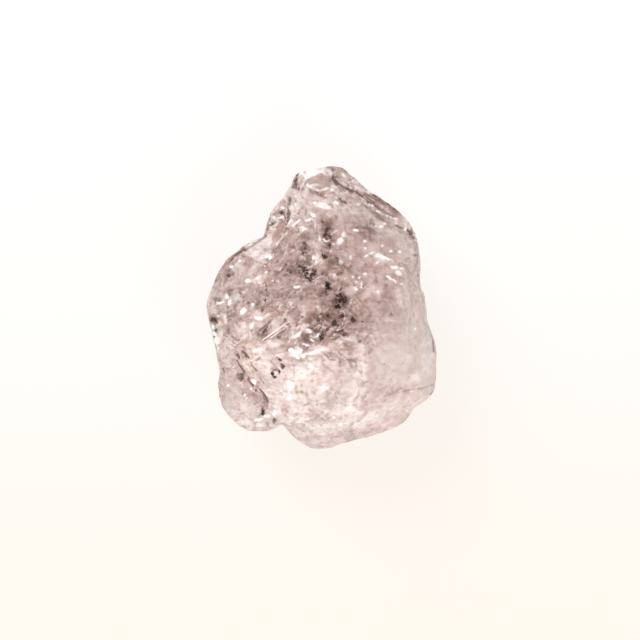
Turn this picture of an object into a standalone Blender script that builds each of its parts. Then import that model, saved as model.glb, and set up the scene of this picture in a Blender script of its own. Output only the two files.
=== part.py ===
"""A rough, see-through morganite crystal of 38 carats, lying on its flat back.

Metres, +Z up. The origin is under the middle of the stone, on the surface that it lies on. +Y points to
the narrow end, and +Z looks out of the broad front face. The sizes below are millimetres, measured from
the middle of the girth, and MM turns them to metres at the end.
"""

import math

import bmesh
import bpy
import numpy as np
from mathutils import Matrix, Vector, noise

MM = 0.001

# The lump, before anything is broken off it.
GIRTH_HEIGHT = 5.9
FRONT_RISE = 8.6
BACK_DROP = 7.6
SQUARENESS = 2.5
SPHERE_LEVEL = 7
TRIANGLES = 9600

# The widest contour of the stone, clockwise from the tip, as seen from the front, and the distance between
# the points of the smooth curve through it.
OUTLINE_STEP = 0.1
OUTLINE = (
    (0.8, 11.4), (1.65, 11.25), (2.3, 10.65), (3.5, 9.75), (5.15, 8.7), (6.6, 7.45), (7.45, 5.8),
    (7.65, 3.2), (7.6, 1.75), (7.95, 1.2), (8.3, -0.8), (8.95, -2.7), (9.35, -4.4), (9.1, -6.0),
    (8.75, -7.05), (7.4, -8.1), (6.95, -8.9), (6.05, -9.65), (3.9, -10.35), (1.55, -11.0), (0.4, -11.3),
    (-0.95, -11.15), (-2.05, -10.4), (-2.95, -9.6), (-3.35, -9.2), (-3.8, -9.55), (-4.6, -9.85),
    (-6.3, -9.65), (-7.85, -8.4), (-8.35, -7.5), (-8.4, -6.3), (-8.25, -5.0), (-8.8, -2.5),
    (-9.3, 0.15), (-8.85, 1.95), (-7.95, 3.55), (-7.0, 4.3), (-5.6, 5.3), (-4.85, 5.6), (-4.6, 6.15),
    (-4.3, 7.4), (-3.1, 9.35), (-2.65, 9.85), (-2.4, 10.6), (-2.0, 10.85), (-1.05, 10.85), (0.15, 11.3),
)

# Faces broken across the lump: bearing of the normal from +X and its lean from +Z, in degrees, the distance
# from the middle, and how far the face bulges or hollows between its edges. The bulges have one length.
BULGE_LENGTH = 3.2
BULGE_SEED = 7.0
BROKEN_FACES = {
    "upper_front": (70, 8, 7.75, 0.12),
    "lower_front": (284, 26, 8.3, 0.15),
    "left_front": (187, 26, 7.75, 0.15),
    "right_front": (14, 29, 8.0, 0.12),
    "right_side": (357, 63, 8.2, 0.05),
    "lower_right": (322, 43, 8.7, 0.1),
    "shoulder_bevel": (52, 47, 7.8, 0.06),
    "tip_face": (96, 46, 8.9, 0.05),
    "upper_left_flank": (148, 47, 7.0, 0.08),
    "left_lobe": (176, 55, 8.5, 0.1),
    "lower_left_lobe": (222, 48, 9.1, 0.1),
    "foot_slope": (268, 58, 9.9, 0.1),
    "foot_slope_right": (300, 62, 10.0, 0.08),
    "back_right": (6, 126, 7.5, 0.15),
    "back_lower_right": (318, 134, 8.5, 0.1),
    "back_foot": (264, 128, 9.2, 0.15),
    "back_lower_left": (223, 124, 9.5, 0.1),
    "back_left": (176, 130, 7.9, 0.15),
    "back_upper_left": (138, 118, 7.15, 0.1),
    "back_tip": (98, 122, 9.6, 0.1),
    "back_shoulder": (48, 131, 7.7, 0.12),
}

# Swellings: x and y on the front, how wide and how high. They fade out towards the girth over this height.
LUMP_FADE = 2.5
LUMPS = {
    "knob": (-0.4, 10.2, 1.5, 0.6),
    "left_lobe": (-6.9, 0.4, 2.6, 0.5),
    "lower_left_lobe": (-6.4, -7.0, 2.4, 0.5),
    "foot": (0.2, -8.8, 3.2, 0.45),
    "right_corner": (7.4, -5.4, 2.0, 0.35),
    "shoulder": (5.6, 4.6, 2.4, 0.3),
}

# Shell-shaped hollows on the front: x and y; length, width and depth; bearing of the length; lean of the
# hollow about its length, which makes one long side of it steep. All hollows are uneven inside by this
# height and length.
HOLLOW_UNEVENNESS = (0.05, 0.9)
HOLLOW_SEED = 3.0
FRONT_HOLLOWS = {
    "shoulder_long": (3.5, 8.6, 9.0, 2.6, 0.42, -36, -10),
    "shoulder_upper": (1.9, 9.8, 4.6, 1.5, 0.36, -32, -16),
    "shoulder_lower": (5.4, 7.0, 4.2, 1.5, 0.32, -36, -12),
    "under_knob": (-0.5, 8.9, 3.6, 1.7, 0.26, -12, 6),
    "beside_knob": (-2.3, 9.1, 2.0, 1.0, 0.3, -62, 0),
    "flank_flute": (-3.3, 7.3, 5.4, 1.9, 0.46, 64, -8),
    "waist": (-5.1, 5.0, 3.2, 2.6, 0.5, 42, 0),
    "below_waist": (-6.4, 3.2, 3.6, 2.0, 0.26, 50, 0),
    "lobe_crossing": (-6.9, 0.9, 4.6, 2.2, 0.3, 54, 10),
    "between_lobes": (-6.4, -4.6, 4.6, 2.6, 0.26, -40, 0),
    "front_top": (2.1, 4.0, 9.6, 6.6, 0.55, -24, 0),
    "front_left": (-3.2, 1.4, 6.4, 4.8, 0.24, 60, 0),
    "front_low": (-1.6, -6.6, 6.6, 4.2, 0.34, 32, 0),
    "matte_face": (5.2, -4.6, 6.0, 4.4, 0.16, -6, 0),
    "right_low": (6.9, -7.6, 4.6, 2.0, 0.4, 24, 0),
    "right_side_upper": (7.0, 3.4, 4.2, 2.2, 0.3, 80, 0),
}

# The same where the front view doesn't reach: bearing and height angle of the spot as seen from the middle;
# length, width and depth; turn of the length from level; lean.
HIDDEN_HOLLOWS = {
    "back_shoulder_shell": (56, -34, 9.0, 5.0, 0.75, 24, 0),
    "back_shoulder_step": (44, -20, 6.0, 2.4, 0.45, 30, 12),
    "foot_shell": (280, -30, 9.0, 4.8, 0.8, -10, 0),
    "foot_step": (292, -14, 6.4, 2.2, 0.4, -4, -12),
    "left_shell": (188, -30, 8.4, 4.8, 0.7, 18, 0),
    "left_step": (204, -10, 4.6, 2.0, 0.36, 58, 10),
    "right_shell": (342, -30, 8.6, 5.0, 0.7, -22, 0),
    "right_step": (352, -12, 5.2, 2.0, 0.34, 8, -12),
    "lower_left_shell": (232, -26, 5.6, 3.4, 0.55, 30, 0),
    "waist_shell": (136, -22, 5.6, 3.0, 0.55, -50, 0),
    "tip_shell": (96, -18, 4.4, 2.8, 0.5, 10, 0),
    "base_shell": (20, -62, 6.0, 3.6, 0.6, 50, 0),
}

# Cracks and ledges on the front: the points that they run through, depth, width, and the side that lies
# lower, which is 1 for the left of the line's direction, -1 for the right and 0 for a crack.
FRONT_LINES = {
    "knob_ledge": (((-2.2, 9.6), (-1.2, 9.7), (-0.2, 9.35), (0.6, 9.6), (0.9, 10.3)), 0.4, 1.0, -1),
    "shoulder_ledge": (
        ((0.6, 10.3), (2.2, 9.5), (3.3, 9.1), (4.1, 8.3), (5.2, 7.4), (6.6, 6.5)), 0.34, 1.2, 1
    ),
    "second_ledge": (((1.0, 9.5), (2.8, 8.4), (3.9, 7.6), (4.7, 6.9), (6.9, 5.9)), 0.28, 0.9, -1),
    "flank_ledge": (((-2.9, 8.7), (-2.9, 7.4), (-3.6, 5.9), (-4.2, 5.0)), 0.3, 0.8, 1),
    "flank_ridge_side": (((-1.9, 6.9), (-3.2, 6.0), (-4.0, 4.9)), 0.22, 0.9, 1),
    "lobe_crease": (((-7.5, 0.0), (-6.8, 0.8), (-6.1, 1.7), (-5.0, 2.6)), 0.24, 0.8, -1),
    "lobe_crack": (
        ((-7.3, -3.4), (-6.7, -4.5), (-6.1, -5.4), (-5.3, -6.6), (-4.7, -7.4), (-4.4, -8.8)), 0.42, 0.4, 0
    ),
    "second_crack": (((-6.5, -3.5), (-5.9, -4.3), (-5.3, -5.1)), 0.2, 0.3, 0),
    "body_step": (
        ((-3.0, -3.2), (-0.9, -3.7), (0.3, -3.4), (1.1, -3.5), (1.9, -4.4), (2.6, -4.9)), 0.24, 1.6, -1
    ),
    "right_edge": (((7.2, 1.3), (6.5, 0.2), (6.6, -1.4), (7.3, -3.6), (7.9, -5.4)), 0.28, 1.4, 1),
    "right_ledge": (((8.5, -6.1), (7.4, -6.5), (5.6, -6.7)), 0.3, 1.3, -1),
    "foot_ledge": (((5.4, -8.6), (3.6, -9.1), (1.8, -9.6)), 0.22, 1.0, -1),
}

# How wide the fall of a ledge is, the distance between the points of a line before and after it is laid on
# the skin, and how early it fades towards its ends.
LEDGE_FALL = 0.25
ROUTE_STEP = 0.5
LINE_STEP = 0.25
LINE_TAPER = 0.6

# Stepped breaks on the sides and back: bearing and height angle of the middle, how wide; direction across
# the steps, their spacing and their height. Each step climbs over the first share of its width and drops
# over the rest, and their lines waver by this share of the spacing, at this length.
STEP_CLIMB = 0.85
STEP_DROP = 0.15
STEP_WAVER = 0.35
STEP_WAVER_LENGTH = 1.8
STEP_SEED = 11.0
STEPPED_BREAKS = {
    "foot_steps": (276, -6, 3.2, (0.3, 0.2, 0.93), 0.9, 0.16),
    "left_steps": (168, -14, 3.4, (0.2, 0.5, 0.84), 1.0, 0.18),
    "right_steps": (14, -18, 3.4, (-0.3, 0.6, 0.74), 1.1, 0.18),
    "shoulder_steps": (50, 2, 2.6, (-0.62, 0.2, 0.76), 0.8, 0.14),
    "back_steps": (226, -44, 3.4, (0.8, -0.5, 0.3), 1.1, 0.2),
}

# Slow and quick unevenness of every broken surface: height and length.
UNEVENNESS = ((0.3, 6.0), (0.12, 2.4), (0.05, 1.0))

# Wear of the finest edges, and the flat back: points this near to the cut are put on it.
WEAR_PASSES = 2
WEAR = 0.5
CUT_MERGE = 0.004
FLAT_SNAP = 0.008


def clear_scene():
    """Removes what a new file starts with."""
    for old in list(bpy.data.objects):
        bpy.data.objects.remove(old)


def pink_beryl():
    """Dusty pink beryl, glassy and mostly clear."""
    material = bpy.data.materials.new("morganite")
    material.use_nodes = True
    shader = material.node_tree.nodes["Principled BSDF"]
    shader.inputs["Base Color"].default_value = (0.72, 0.5, 0.46, 1)
    shader.inputs["Roughness"].default_value = 0.18
    shader.inputs["Metallic"].default_value = 0
    shader.inputs["IOR"].default_value = 1.58
    shader.inputs["Transmission Weight"].default_value = 0.6
    return material


def smooth_curve(points, spacing):
    """Points on one smooth curve through these, not much further apart than spacing."""
    points = [Vector(point) for point in points]
    points = [2 * points[0] - points[1], *points, 2 * points[-1] - points[-2]]
    curve = []
    for before, start, end, after in zip(points, points[1:], points[2:], points[3:]):
        pieces = max(1, math.ceil((end - start).length / spacing))
        for piece in range(pieces):
            t = piece / pieces
            bend = (2 * before - 5 * start + 4 * end - after) * t * t
            twist = (3 * start - 3 * end + after - before) * t * t * t
            curve.append(start + ((end - before) * t + bend + twist) / 2)
    curve.append(points[-2])
    return np.array(curve)


def girth_radius(bearings):
    """How far the outline reaches on each bearing."""
    around = smooth_curve(OUTLINE[-2:] + OUTLINE + OUTLINE[:2], OUTLINE_STEP)
    angles = np.arctan2(around[:, 1], around[:, 0])
    reach = np.hypot(around[:, 0], around[:, 1])
    return np.interp(bearings, *sorted_pairs(angles, reach), period=math.tau)


def sorted_pairs(keys, values):
    """Both arrays in the order of the first."""
    order = np.argsort(keys)
    return keys[order], values[order]


def new_lump():
    """The stone before anything broke off it: a squarish pillow on the outline."""
    mesh = bmesh.new()
    bmesh.ops.create_icosphere(mesh, subdivisions=SPHERE_LEVEL, radius=1)
    data = bpy.data.meshes.new("morganite_crystal")
    mesh.to_mesh(data)
    mesh.free()
    unit = read_points(data)
    power = 2 / SQUARENESS
    level = np.hypot(unit[:, 0], unit[:, 1])
    bearings = np.arctan2(unit[:, 1], unit[:, 0])
    reach = girth_radius(bearings) * level**power
    rise = np.where(unit[:, 2] > 0, FRONT_RISE, BACK_DROP)
    height = np.sign(unit[:, 2]) * rise * np.abs(unit[:, 2]) ** power
    write_points(data, np.column_stack((reach * np.cos(bearings), reach * np.sin(bearings), height)))
    return data


def read_points(data):
    """The mesh's points as rows of x, y and z."""
    points = np.empty(len(data.vertices) * 3)
    data.vertices.foreach_get("co", points)
    return points.reshape(-1, 3)


def write_points(data, points):
    """Puts the mesh's points in new places."""
    data.vertices.foreach_set("co", points.ravel())
    data.update()


def outward_of(data):
    """The outward direction at each point."""
    normals = np.empty(len(data.vertices) * 3)
    data.vertex_normals.foreach_get("vector", normals)
    return normals.reshape(-1, 3)


def wave(points, length, seed=0.0):
    """A smooth random value at each point, from about -1 to 1."""
    return np.array([noise.noise(Vector(point) / length + Vector((seed, 0, 0))) for point in points])


def heading(bearing, lean):
    """The direction with this bearing from +X and this lean from +Z."""
    bearing, lean = math.radians(bearing), math.radians(lean)
    return np.array((math.sin(lean) * math.cos(bearing), math.sin(lean) * math.sin(bearing), math.cos(lean)))


def break_faces(data):
    """Breaks the flat faces. A point beyond a face slides along its own ray from the middle."""
    points = read_points(data)
    slow = wave(points, BULGE_LENGTH, BULGE_SEED)
    for bearing, lean, distance, bulge in BROKEN_FACES.values():
        normal = heading(bearing, lean)
        reach = points @ normal
        limit = distance + bulge * slow
        points *= np.where(reach > limit, limit / np.maximum(reach, 0.001), 1)[:, None]
    write_points(data, points)


def raise_lumps(data):
    """Swells the knob, the lobes and the corners."""
    points = read_points(data)
    outward = outward_of(data)
    front = np.clip(points[:, 2] / LUMP_FADE, 0, 1)
    lift = np.zeros(len(points))
    for x, y, radius, height in LUMPS.values():
        lift += height * np.exp(-((points[:, 0] - x) ** 2 + (points[:, 1] - y) ** 2) / radius**2)
    write_points(data, points + outward * (lift * front)[:, None])


def spot_on_front(points, outward, x, y):
    """The point that is seen at x and y from the front, and the way the skin faces there."""
    apart = np.hypot(points[:, 0] - x, points[:, 1] - y)
    apart[points[:, 2] < 0] = np.inf
    return mean_spot(points, outward, points[np.argmin(apart)])


def spot_on_side(points, outward, bearing, height):
    """The point on this bearing and height angle from the middle, and the way the skin faces there."""
    toward = points @ heading(bearing, 90 - height) / np.linalg.norm(points, axis=1)
    return mean_spot(points, outward, points[np.argmax(toward)])


def mean_spot(points, outward, spot):
    """The spot, and the mean outward direction within a millimetre of it."""
    near = np.linalg.norm(points - spot, axis=1) < 1
    return Vector(spot), Vector(outward[near].mean(axis=0)).normalized()


def strike_hollow(data, spot, outward, along, size, lean, wobble):
    """Strikes off a flake: the points inside an egg slide towards the middle, onto its near side."""
    length, width, depth = size
    round_radius = (width * width / 4 + depth * depth) / (2 * depth)
    spread = math.sqrt(1 - ((round_radius - depth) / round_radius) ** 2)
    along = (along - outward * along.dot(outward)).normalized()
    outward = Matrix.Rotation(math.radians(lean), 3, along) @ outward
    across = outward.cross(along)
    centre = spot + outward * (round_radius - depth)
    axes = Matrix((along * (length / 2 / spread), across * round_radius, outward * round_radius)).transposed()
    to_round = np.array(axes.inverted())
    points = read_points(data)
    reach = np.linalg.norm(points, axis=1)
    rays = points / reach[:, None] @ to_round.T
    start = to_round @ -np.array(centre)
    slope = rays @ start
    steep = (rays * rays).sum(axis=1)
    inside = slope * slope - steep * (start @ start - 1)
    hit = inside > 0
    root = np.sqrt(np.where(hit, inside, 0))
    near = (-slope - root) / steep + wobble
    far = (-slope + root) / steep
    cut = hit & (near < reach) & (reach < far)
    points[cut] *= (near[cut] / reach[cut])[:, None]
    write_points(data, points)


def strike_hollows(data):
    """All flakes, each set on the skin as it is once the ones before it are gone."""
    height, length = HOLLOW_UNEVENNESS
    wobble = height * wave(read_points(data), length, HOLLOW_SEED)
    for x, y, length, width, depth, bearing, lean in FRONT_HOLLOWS.values():
        spot, outward = spot_on_front(read_points(data), outward_of(data), x, y)
        along = Matrix.Rotation(math.radians(bearing), 3, "Z") @ Vector((1, 0, 0))
        strike_hollow(data, spot, outward, along, (length, width, depth), lean, wobble)
    for bearing, height, length, width, depth, turn, lean in HIDDEN_HOLLOWS.values():
        spot, outward = spot_on_side(read_points(data), outward_of(data), bearing, height)
        level = Vector((0, 0, 1)).cross(spot).normalized()
        along = Matrix.Rotation(math.radians(turn), 3, spot.normalized()) @ level
        strike_hollow(data, spot, outward, along, (length, width, depth), lean, wobble)


def on_skin(data, route):
    """A smooth line through these points of the front view, laid on the skin, and the way it faces there."""
    points = read_points(data)
    outward = outward_of(data)
    spots = [spot_on_front(points, outward, x, y) for x, y in smooth_curve(route, ROUTE_STEP)]
    line = smooth_curve([spot for spot, _ in spots], LINE_STEP)
    facing = smooth_curve([way for _, way in spots], LINE_STEP)
    steps = np.linspace(0, 1, len(line))
    ways = np.linspace(0, 1, len(facing))
    return line, np.column_stack([np.interp(steps, ways, facing[:, axis]) for axis in range(3)])


def beside_line(points, line, facing):
    """Each point's distance to a line on the skin, positive on its left, and the share run so far."""
    best = np.full(len(points), np.inf)
    side = np.zeros(len(points))
    share = np.zeros(len(points))
    for index, (start, end) in enumerate(zip(line, line[1:])):
        run = end - start
        offset = points - start
        part = np.clip(offset @ run / (run @ run), 0, 1)
        apart = np.linalg.norm(offset - part[:, None] * run, axis=1)
        closer = apart < best
        best = np.where(closer, apart, best)
        left = np.cross(run, offset) @ facing[index]
        side = np.where(closer, np.sign(left), side)
        share = np.where(closer, (index + part) / (len(line) - 1), share)
    return best * side, share


def draw_lines(data):
    """Sinks the cracks, and the lower side of each ledge."""
    for route, depth, width, low_side in FRONT_LINES.values():
        points = read_points(data)
        apart, share = beside_line(points, *on_skin(data, route))
        taper = np.sin(math.pi * share) ** LINE_TAPER
        if low_side:
            apart = apart * low_side
            sunk = np.clip(apart / LEDGE_FALL, 0, 1) * np.exp(-np.clip(apart, 0, None) / width)
        else:
            sunk = np.exp(-((apart / width) ** 2))
        write_points(data, points - outward_of(data) * (depth * sunk * taper)[:, None])


def step_breaks(data):
    """Parallel steps where a break ran on and off through the stone."""
    for bearing, height, width, across, spacing, depth in STEPPED_BREAKS.values():
        points = read_points(data)
        outward = outward_of(data)
        spot, _ = spot_on_side(points, outward, bearing, height)
        apart = np.linalg.norm(points - np.array(spot), axis=1)
        inside = np.exp(-((apart / width) ** 4))
        waver = STEP_WAVER * wave(points, STEP_WAVER_LENGTH, STEP_SEED)
        climb = points @ np.array(across) / spacing + waver
        saw = climb - np.floor(climb)
        saw = np.where(saw < STEP_CLIMB, saw / STEP_CLIMB, (1 - saw) / STEP_DROP)
        write_points(data, points - outward * (depth * saw * inside)[:, None])


def roughen(data):
    """The unevenness of broken beryl."""
    points = read_points(data)
    outward = outward_of(data)
    rise = sum(height * wave(points, length, length) for height, length in UNEVENNESS)
    write_points(data, points + outward * rise[:, None])


def wear_edges(data):
    """Takes the finest points off the broken edges."""
    mesh = bmesh.new()
    mesh.from_mesh(data)
    for _ in range(WEAR_PASSES):
        bmesh.ops.smooth_vert(
            mesh, verts=mesh.verts, factor=WEAR, use_axis_x=True, use_axis_y=True, use_axis_z=True
        )
    mesh.to_mesh(data)
    mesh.free()


def thinned(data):
    """The same skin with fewer triangles, small ones where it turns and large ones where it is flat."""
    carrier = bpy.data.objects.new("dense_lump", data)
    bpy.context.scene.collection.objects.link(carrier)
    thin = carrier.modifiers.new("thin", "DECIMATE")
    thin.ratio = TRIANGLES / len(data.polygons)
    graph = bpy.context.evaluated_depsgraph_get()
    result = bpy.data.meshes.new_from_object(carrier.evaluated_get(graph))
    bpy.data.objects.remove(carrier)
    return result


def rest_flat(data):
    """Puts the stone over the origin at its height, cuts its back flat, and turns it to metres."""
    points = read_points(data)
    middle = (points.max(axis=0) + points.min(axis=0)) / 2
    mesh = bmesh.new()
    mesh.from_mesh(data)
    bmesh.ops.translate(mesh, verts=mesh.verts, vec=(-middle[0], -middle[1], GIRTH_HEIGHT))
    everything = mesh.verts[:] + mesh.edges[:] + mesh.faces[:]
    cut = bmesh.ops.bisect_plane(
        mesh, geom=everything, dist=CUT_MERGE, plane_co=(0, 0, 0), plane_no=(0, 0, -1), clear_outer=True
    )
    for vert in mesh.verts:
        if vert.co.z < FLAT_SNAP:
            vert.co.z = 0
    rim = [item for item in cut["geom_cut"] if isinstance(item, bmesh.types.BMEdge)]
    bmesh.ops.contextual_create(mesh, geom=rim)
    bmesh.ops.triangulate(mesh, faces=mesh.faces)
    bmesh.ops.recalc_face_normals(mesh, faces=mesh.faces)
    bmesh.ops.scale(mesh, verts=mesh.verts, vec=(MM, MM, MM))
    mesh.to_mesh(data)
    mesh.free()


def build():
    """The one stone."""
    clear_scene()
    data = new_lump()
    break_faces(data)
    raise_lumps(data)
    strike_hollows(data)
    draw_lines(data)
    step_breaks(data)
    wear_edges(data)
    roughen(data)
    data = thinned(data)
    rest_flat(data)
    data.materials.append(pink_beryl())
    stones = bpy.data.collections.new("morganite")
    bpy.context.scene.collection.children.link(stones)
    stones.objects.link(bpy.data.objects.new("morganite_crystal", data))


build()
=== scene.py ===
import math
import random

import bmesh
import bpy
import numpy as np
from mathutils import Matrix, Vector, noise
from mathutils.bvhtree import BVHTree


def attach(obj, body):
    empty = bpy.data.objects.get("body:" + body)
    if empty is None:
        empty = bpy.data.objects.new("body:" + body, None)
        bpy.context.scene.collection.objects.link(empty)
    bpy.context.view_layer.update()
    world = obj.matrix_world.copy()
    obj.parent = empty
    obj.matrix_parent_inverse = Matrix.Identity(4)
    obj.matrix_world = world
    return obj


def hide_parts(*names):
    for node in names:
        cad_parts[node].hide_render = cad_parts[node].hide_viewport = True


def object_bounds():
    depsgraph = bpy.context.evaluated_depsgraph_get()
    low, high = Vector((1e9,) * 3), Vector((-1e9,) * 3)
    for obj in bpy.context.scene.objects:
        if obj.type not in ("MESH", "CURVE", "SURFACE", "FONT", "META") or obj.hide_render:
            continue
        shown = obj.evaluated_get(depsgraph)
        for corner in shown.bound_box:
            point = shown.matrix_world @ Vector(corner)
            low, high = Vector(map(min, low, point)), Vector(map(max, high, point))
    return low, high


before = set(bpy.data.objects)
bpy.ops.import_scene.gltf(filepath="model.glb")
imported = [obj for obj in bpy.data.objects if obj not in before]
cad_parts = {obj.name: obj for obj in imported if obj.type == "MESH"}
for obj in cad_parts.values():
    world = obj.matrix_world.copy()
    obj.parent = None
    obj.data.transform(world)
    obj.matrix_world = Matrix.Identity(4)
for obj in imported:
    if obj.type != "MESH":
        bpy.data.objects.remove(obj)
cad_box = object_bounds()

# The stone: one rough crystal of pink beryl as it came out of the rock, water clear in some places and
# milky or smoky in others, with white flecks and dark stains in it. Its skin is broken, not cut: flat
# chips and curved shells over most of it, a grainy pale lower body and one smooth face at the lower right.
METRES_PER_MM = 0.001
MM_PER_PIXEL = 0.08                # places are pixels of the photograph, as the camera overhead sees them
PIXEL_OVER_MIDDLE = (322.25, 307.56)
FRAME_MIDDLE = (320, 320)          # the pixel that the camera looks at, straight down
EYE_HEIGHT = 213.3                 # mm from the widest part of the stone up to the camera
GIRTH_HEIGHT = 6.0                 # mm above the rest face where the stone is widest
FINE_STEP = 0.105                  # mm between the points of the fine skin
SKIN_QUADS = 95000                 # faces of the skin once those of the underside are joined up
UNDERSIDE = -0.08                  # upward part of the facing, below which the skin may be coarser
BASE_CLEARANCE = 0.10              # mm above the rest face where the relief begins
RELIEF_RISE = 0.5                  # mm over which it grows to its full height

KNOB_CREST = [
    (306, 172), (322, 168), (331, 169), (334, 174), (331, 177), (322, 175), (312, 177), (306, 180),
]
KNOB_FACE = [(307, 179), (318, 177), (331, 179), (330, 186), (320, 190), (311, 189), (306, 184)]
KNOB_CHIP = [(297, 176), (303, 173), (306, 178), (304, 187), (298, 190)]
WAIST_FACE = [(243, 248), (262, 235), (274, 231), (273, 243), (267, 254), (262, 263), (252, 259)]
EAST_FACE = [
    (419, 284), (428, 310), (437, 350), (436, 384), (424, 388), (416, 350), (406, 322), (408, 300),
]
PALE_RIDGE = [(286, 194), (306, 197), (331, 208), (359, 211), (384, 225), (410, 236)]
PALE_BODY = [
    (226, 348), (262, 346), (276, 354), (300, 354), (322, 356), (334, 376), (342, 392), (346, 412),
    (350, 460), (262, 460), (268, 412), (252, 384), (238, 356),
]
BROWN_FACES = [
    [(331, 178), (336, 178), (340, 183), (337, 184)],
    [(331, 181), (335, 180), (345, 187), (352, 191), (347, 191), (337, 186)],
    [(364, 194), (375, 195), (388, 202), (398, 213), (402, 220), (394, 219), (380, 211), (369, 202)],
    [(365, 207), (373, 211), (382, 216), (389, 221), (387, 224), (380, 221), (371, 215)],
    [(286, 202), (289, 210), (288, 221), (281, 236), (272, 240), (270, 232), (277, 215)],
]
LOWER_RIGHT = (410, 392, 70, 76)   # column and row of the middle of the smooth pale face, and its reach
GRAINY_PART = (286, 388, 74, 66)   # the same of the grains of the pale body
CALM_CORNER = (346, 170, 12, 8)    # and of the unbroken corner of the knob
SMOOTH_FACE = (410, 362, 66, 66)   # and of the part of the smooth face without grains
WEAR = 0.9                         # how far each worn place is smoothed
WEAR_PASSES = 240
WORN_SPOTS = [
    # column, row, length, width, turn in degrees, strength
    (392, 356, 44, 60, 0, 1.0), (414, 318, 18, 44, 5, 1.0), (384, 412, 56, 26, -20, 1.0),
    (246, 376, 12, 34, -38, 1.0),
]
SOFT_SPOTS = [
    # column, row, length, width, turn in degrees, how even the skin is
    (410, 362, 66, 66, 0, 1.0), (376, 236, 40, 44, 20, 0.62), (388, 300, 28, 34, 0, 0.6),
    (232, 282, 28, 30, 0, 0.4), (326, 183, 26, 10, 10, 0.6), (236, 392, 20, 34, 0, 0.35),
    (278, 222, 10, 20, 25, 0.6), (346, 378, 26, 36, 0, 0.85), (330, 225, 30, 22, 0, 0.35),
    (316, 292, 8, 15, 0, 0.6), (303, 308, 8, 11, 0, 0.5), (288, 264, 10, 12, 0, 0.8),
]
PALE_SPOTS = [
    # column, row, length, width, turn in degrees, how milky
    (238, 410, 26, 18, 15, 0.58), (244, 415, 20, 9, 12, 0.85), (217, 338, 6, 17, 0, 0.95),
    (222, 322, 9, 8, 0, 0.55), (398, 225, 8, 4, 35, 0.60), (408, 262, 8, 44, 0, 0.55),
    (340, 196, 14, 8, 20, 0.45), (232, 386, 16, 30, 0, 0.42), (226, 352, 12, 22, 0, 0.40),
    (404, 250, 11, 36, 0, 0.38), (210, 314, 8, 36, 0, 0.50), (250, 328, 18, 15, 0, 0.38),
    (300, 206, 34, 12, 8, 0.30), (350, 184, 18, 9, 40, 0.35), (322, 184, 14, 9, 0, 0.30),
    (256, 268, 9, 12, 30, 0.30), (224, 300, 10, 8, 0, 0.25), (404, 296, 10, 18, 0, 0.50),
    (426, 356, 12, 34, 0, 0.62), (354, 418, 24, 10, -18, 0.75), (388, 408, 24, 10, -25, 0.60),
    (392, 262, 20, 14, 0, 0.28), (296, 354, 10, 6, 0, 0.80), (242, 420, 18, 8, 12, 0.75),
    (402, 222, 7, 9, 40, 0.7), (332, 172, 12, 5, 20, 0.6), (346, 178, 10, 4, 42, 0.6),
    (332, 200, 14, 6, 12, 0.45), (294, 208, 9, 11, 10, 0.62), (388, 210, 8, 3, 35, 0.5),
    (334, 192, 14, 5, 10, 0.65), (329, 173, 6, 4, 10, 1.0), (290, 385, 6, 8, 0, 1.0),
    (322, 388, 8, 5, 0, 0.95), (350, 409, 7, 5, 0, 0.95), (291, 399, 7, 7, 0, 0.95),
    (284, 396, 8, 5, 20, 0.9), (262, 314, 10, 5, 30, 0.5), (244, 330, 16, 9, 30, 0.55),
    (254, 336, 10, 6, 20, 0.3), (262, 279, 8, 6, 0, 0.45), (276, 343, 12, 6, 0, 0.9),
    (266, 366, 10, 12, 0, 0.85), (256, 347, 12, 5, 0, 0.7), (296, 421, 24, 9, -10, 0.95),
    (246, 424, 24, 7, 14, 0.95), (318, 168, 10, 4, -10, 0.9), (405, 222, 8, 9, 40, 0.8),
    (318, 263, 6, 6, 0, 0.5), (417, 377, 8, 10, 0, 0.95), (221, 322, 7, 8, 0, 0.85),
    (398, 220, 12, 6, 35, 0.6), (252, 412, 18, 12, 10, 0.8), (298, 412, 20, 14, -10, 0.85),
    (276, 408, 10, 12, 0, 0.95), (316, 351, 16, 4, -8, 0.85), (264, 345, 14, 6, 0, 0.7),
    (208, 283, 4, 20, 15, 0.7), (318, 240, 8, 8, 0, 0.5), (428, 362, 10, 24, 0, 0.85),
    (222, 320, 6, 6, 0, 0.7), (374, 250, 10, 8, 0, 0.3), (382, 257, 13, 5, 18, 0.8),
    (289, 321, 6, 6, -30, 0.6), (290, 222, 6, 5, -30, 0.85), (304, 306, 9, 6, 0, 0.5),
    (262, 348, 8, 7, 0, 0.95), (322, 428, 40, 10, -8, 0.85), (368, 420, 24, 10, -22, 0.85),
    (221, 320, 6, 7, 0, 0.95), (274, 336, 6, 5, -30, 0.6), (318, 376, 16, 12, 0, 0.7),
]
BARE_SPOTS = [
    # column, row, length, width, turn in degrees: no smoke here
    (276, 326, 10, 5, -30), (274, 344, 12, 5, 0), (350, 291, 7, 5, 0), (374, 292, 9, 7, 0),
    (291, 222, 6, 5, -30), (266, 360, 7, 11, 0), (262, 420, 10, 5, 10), (304, 420, 14, 6, -8),
    (366, 420, 14, 6, -18), (276, 404, 7, 9, 0), (361, 391, 8, 7, 0), (332, 194, 10, 5, 10),
    (318, 168, 10, 4, -8), (237, 270, 7, 10, 20), (262, 279, 7, 5, 0), (276, 195, 6, 8, 20),
    (222, 320, 6, 7, 0), (416, 376, 8, 10, 0),
]
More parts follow.
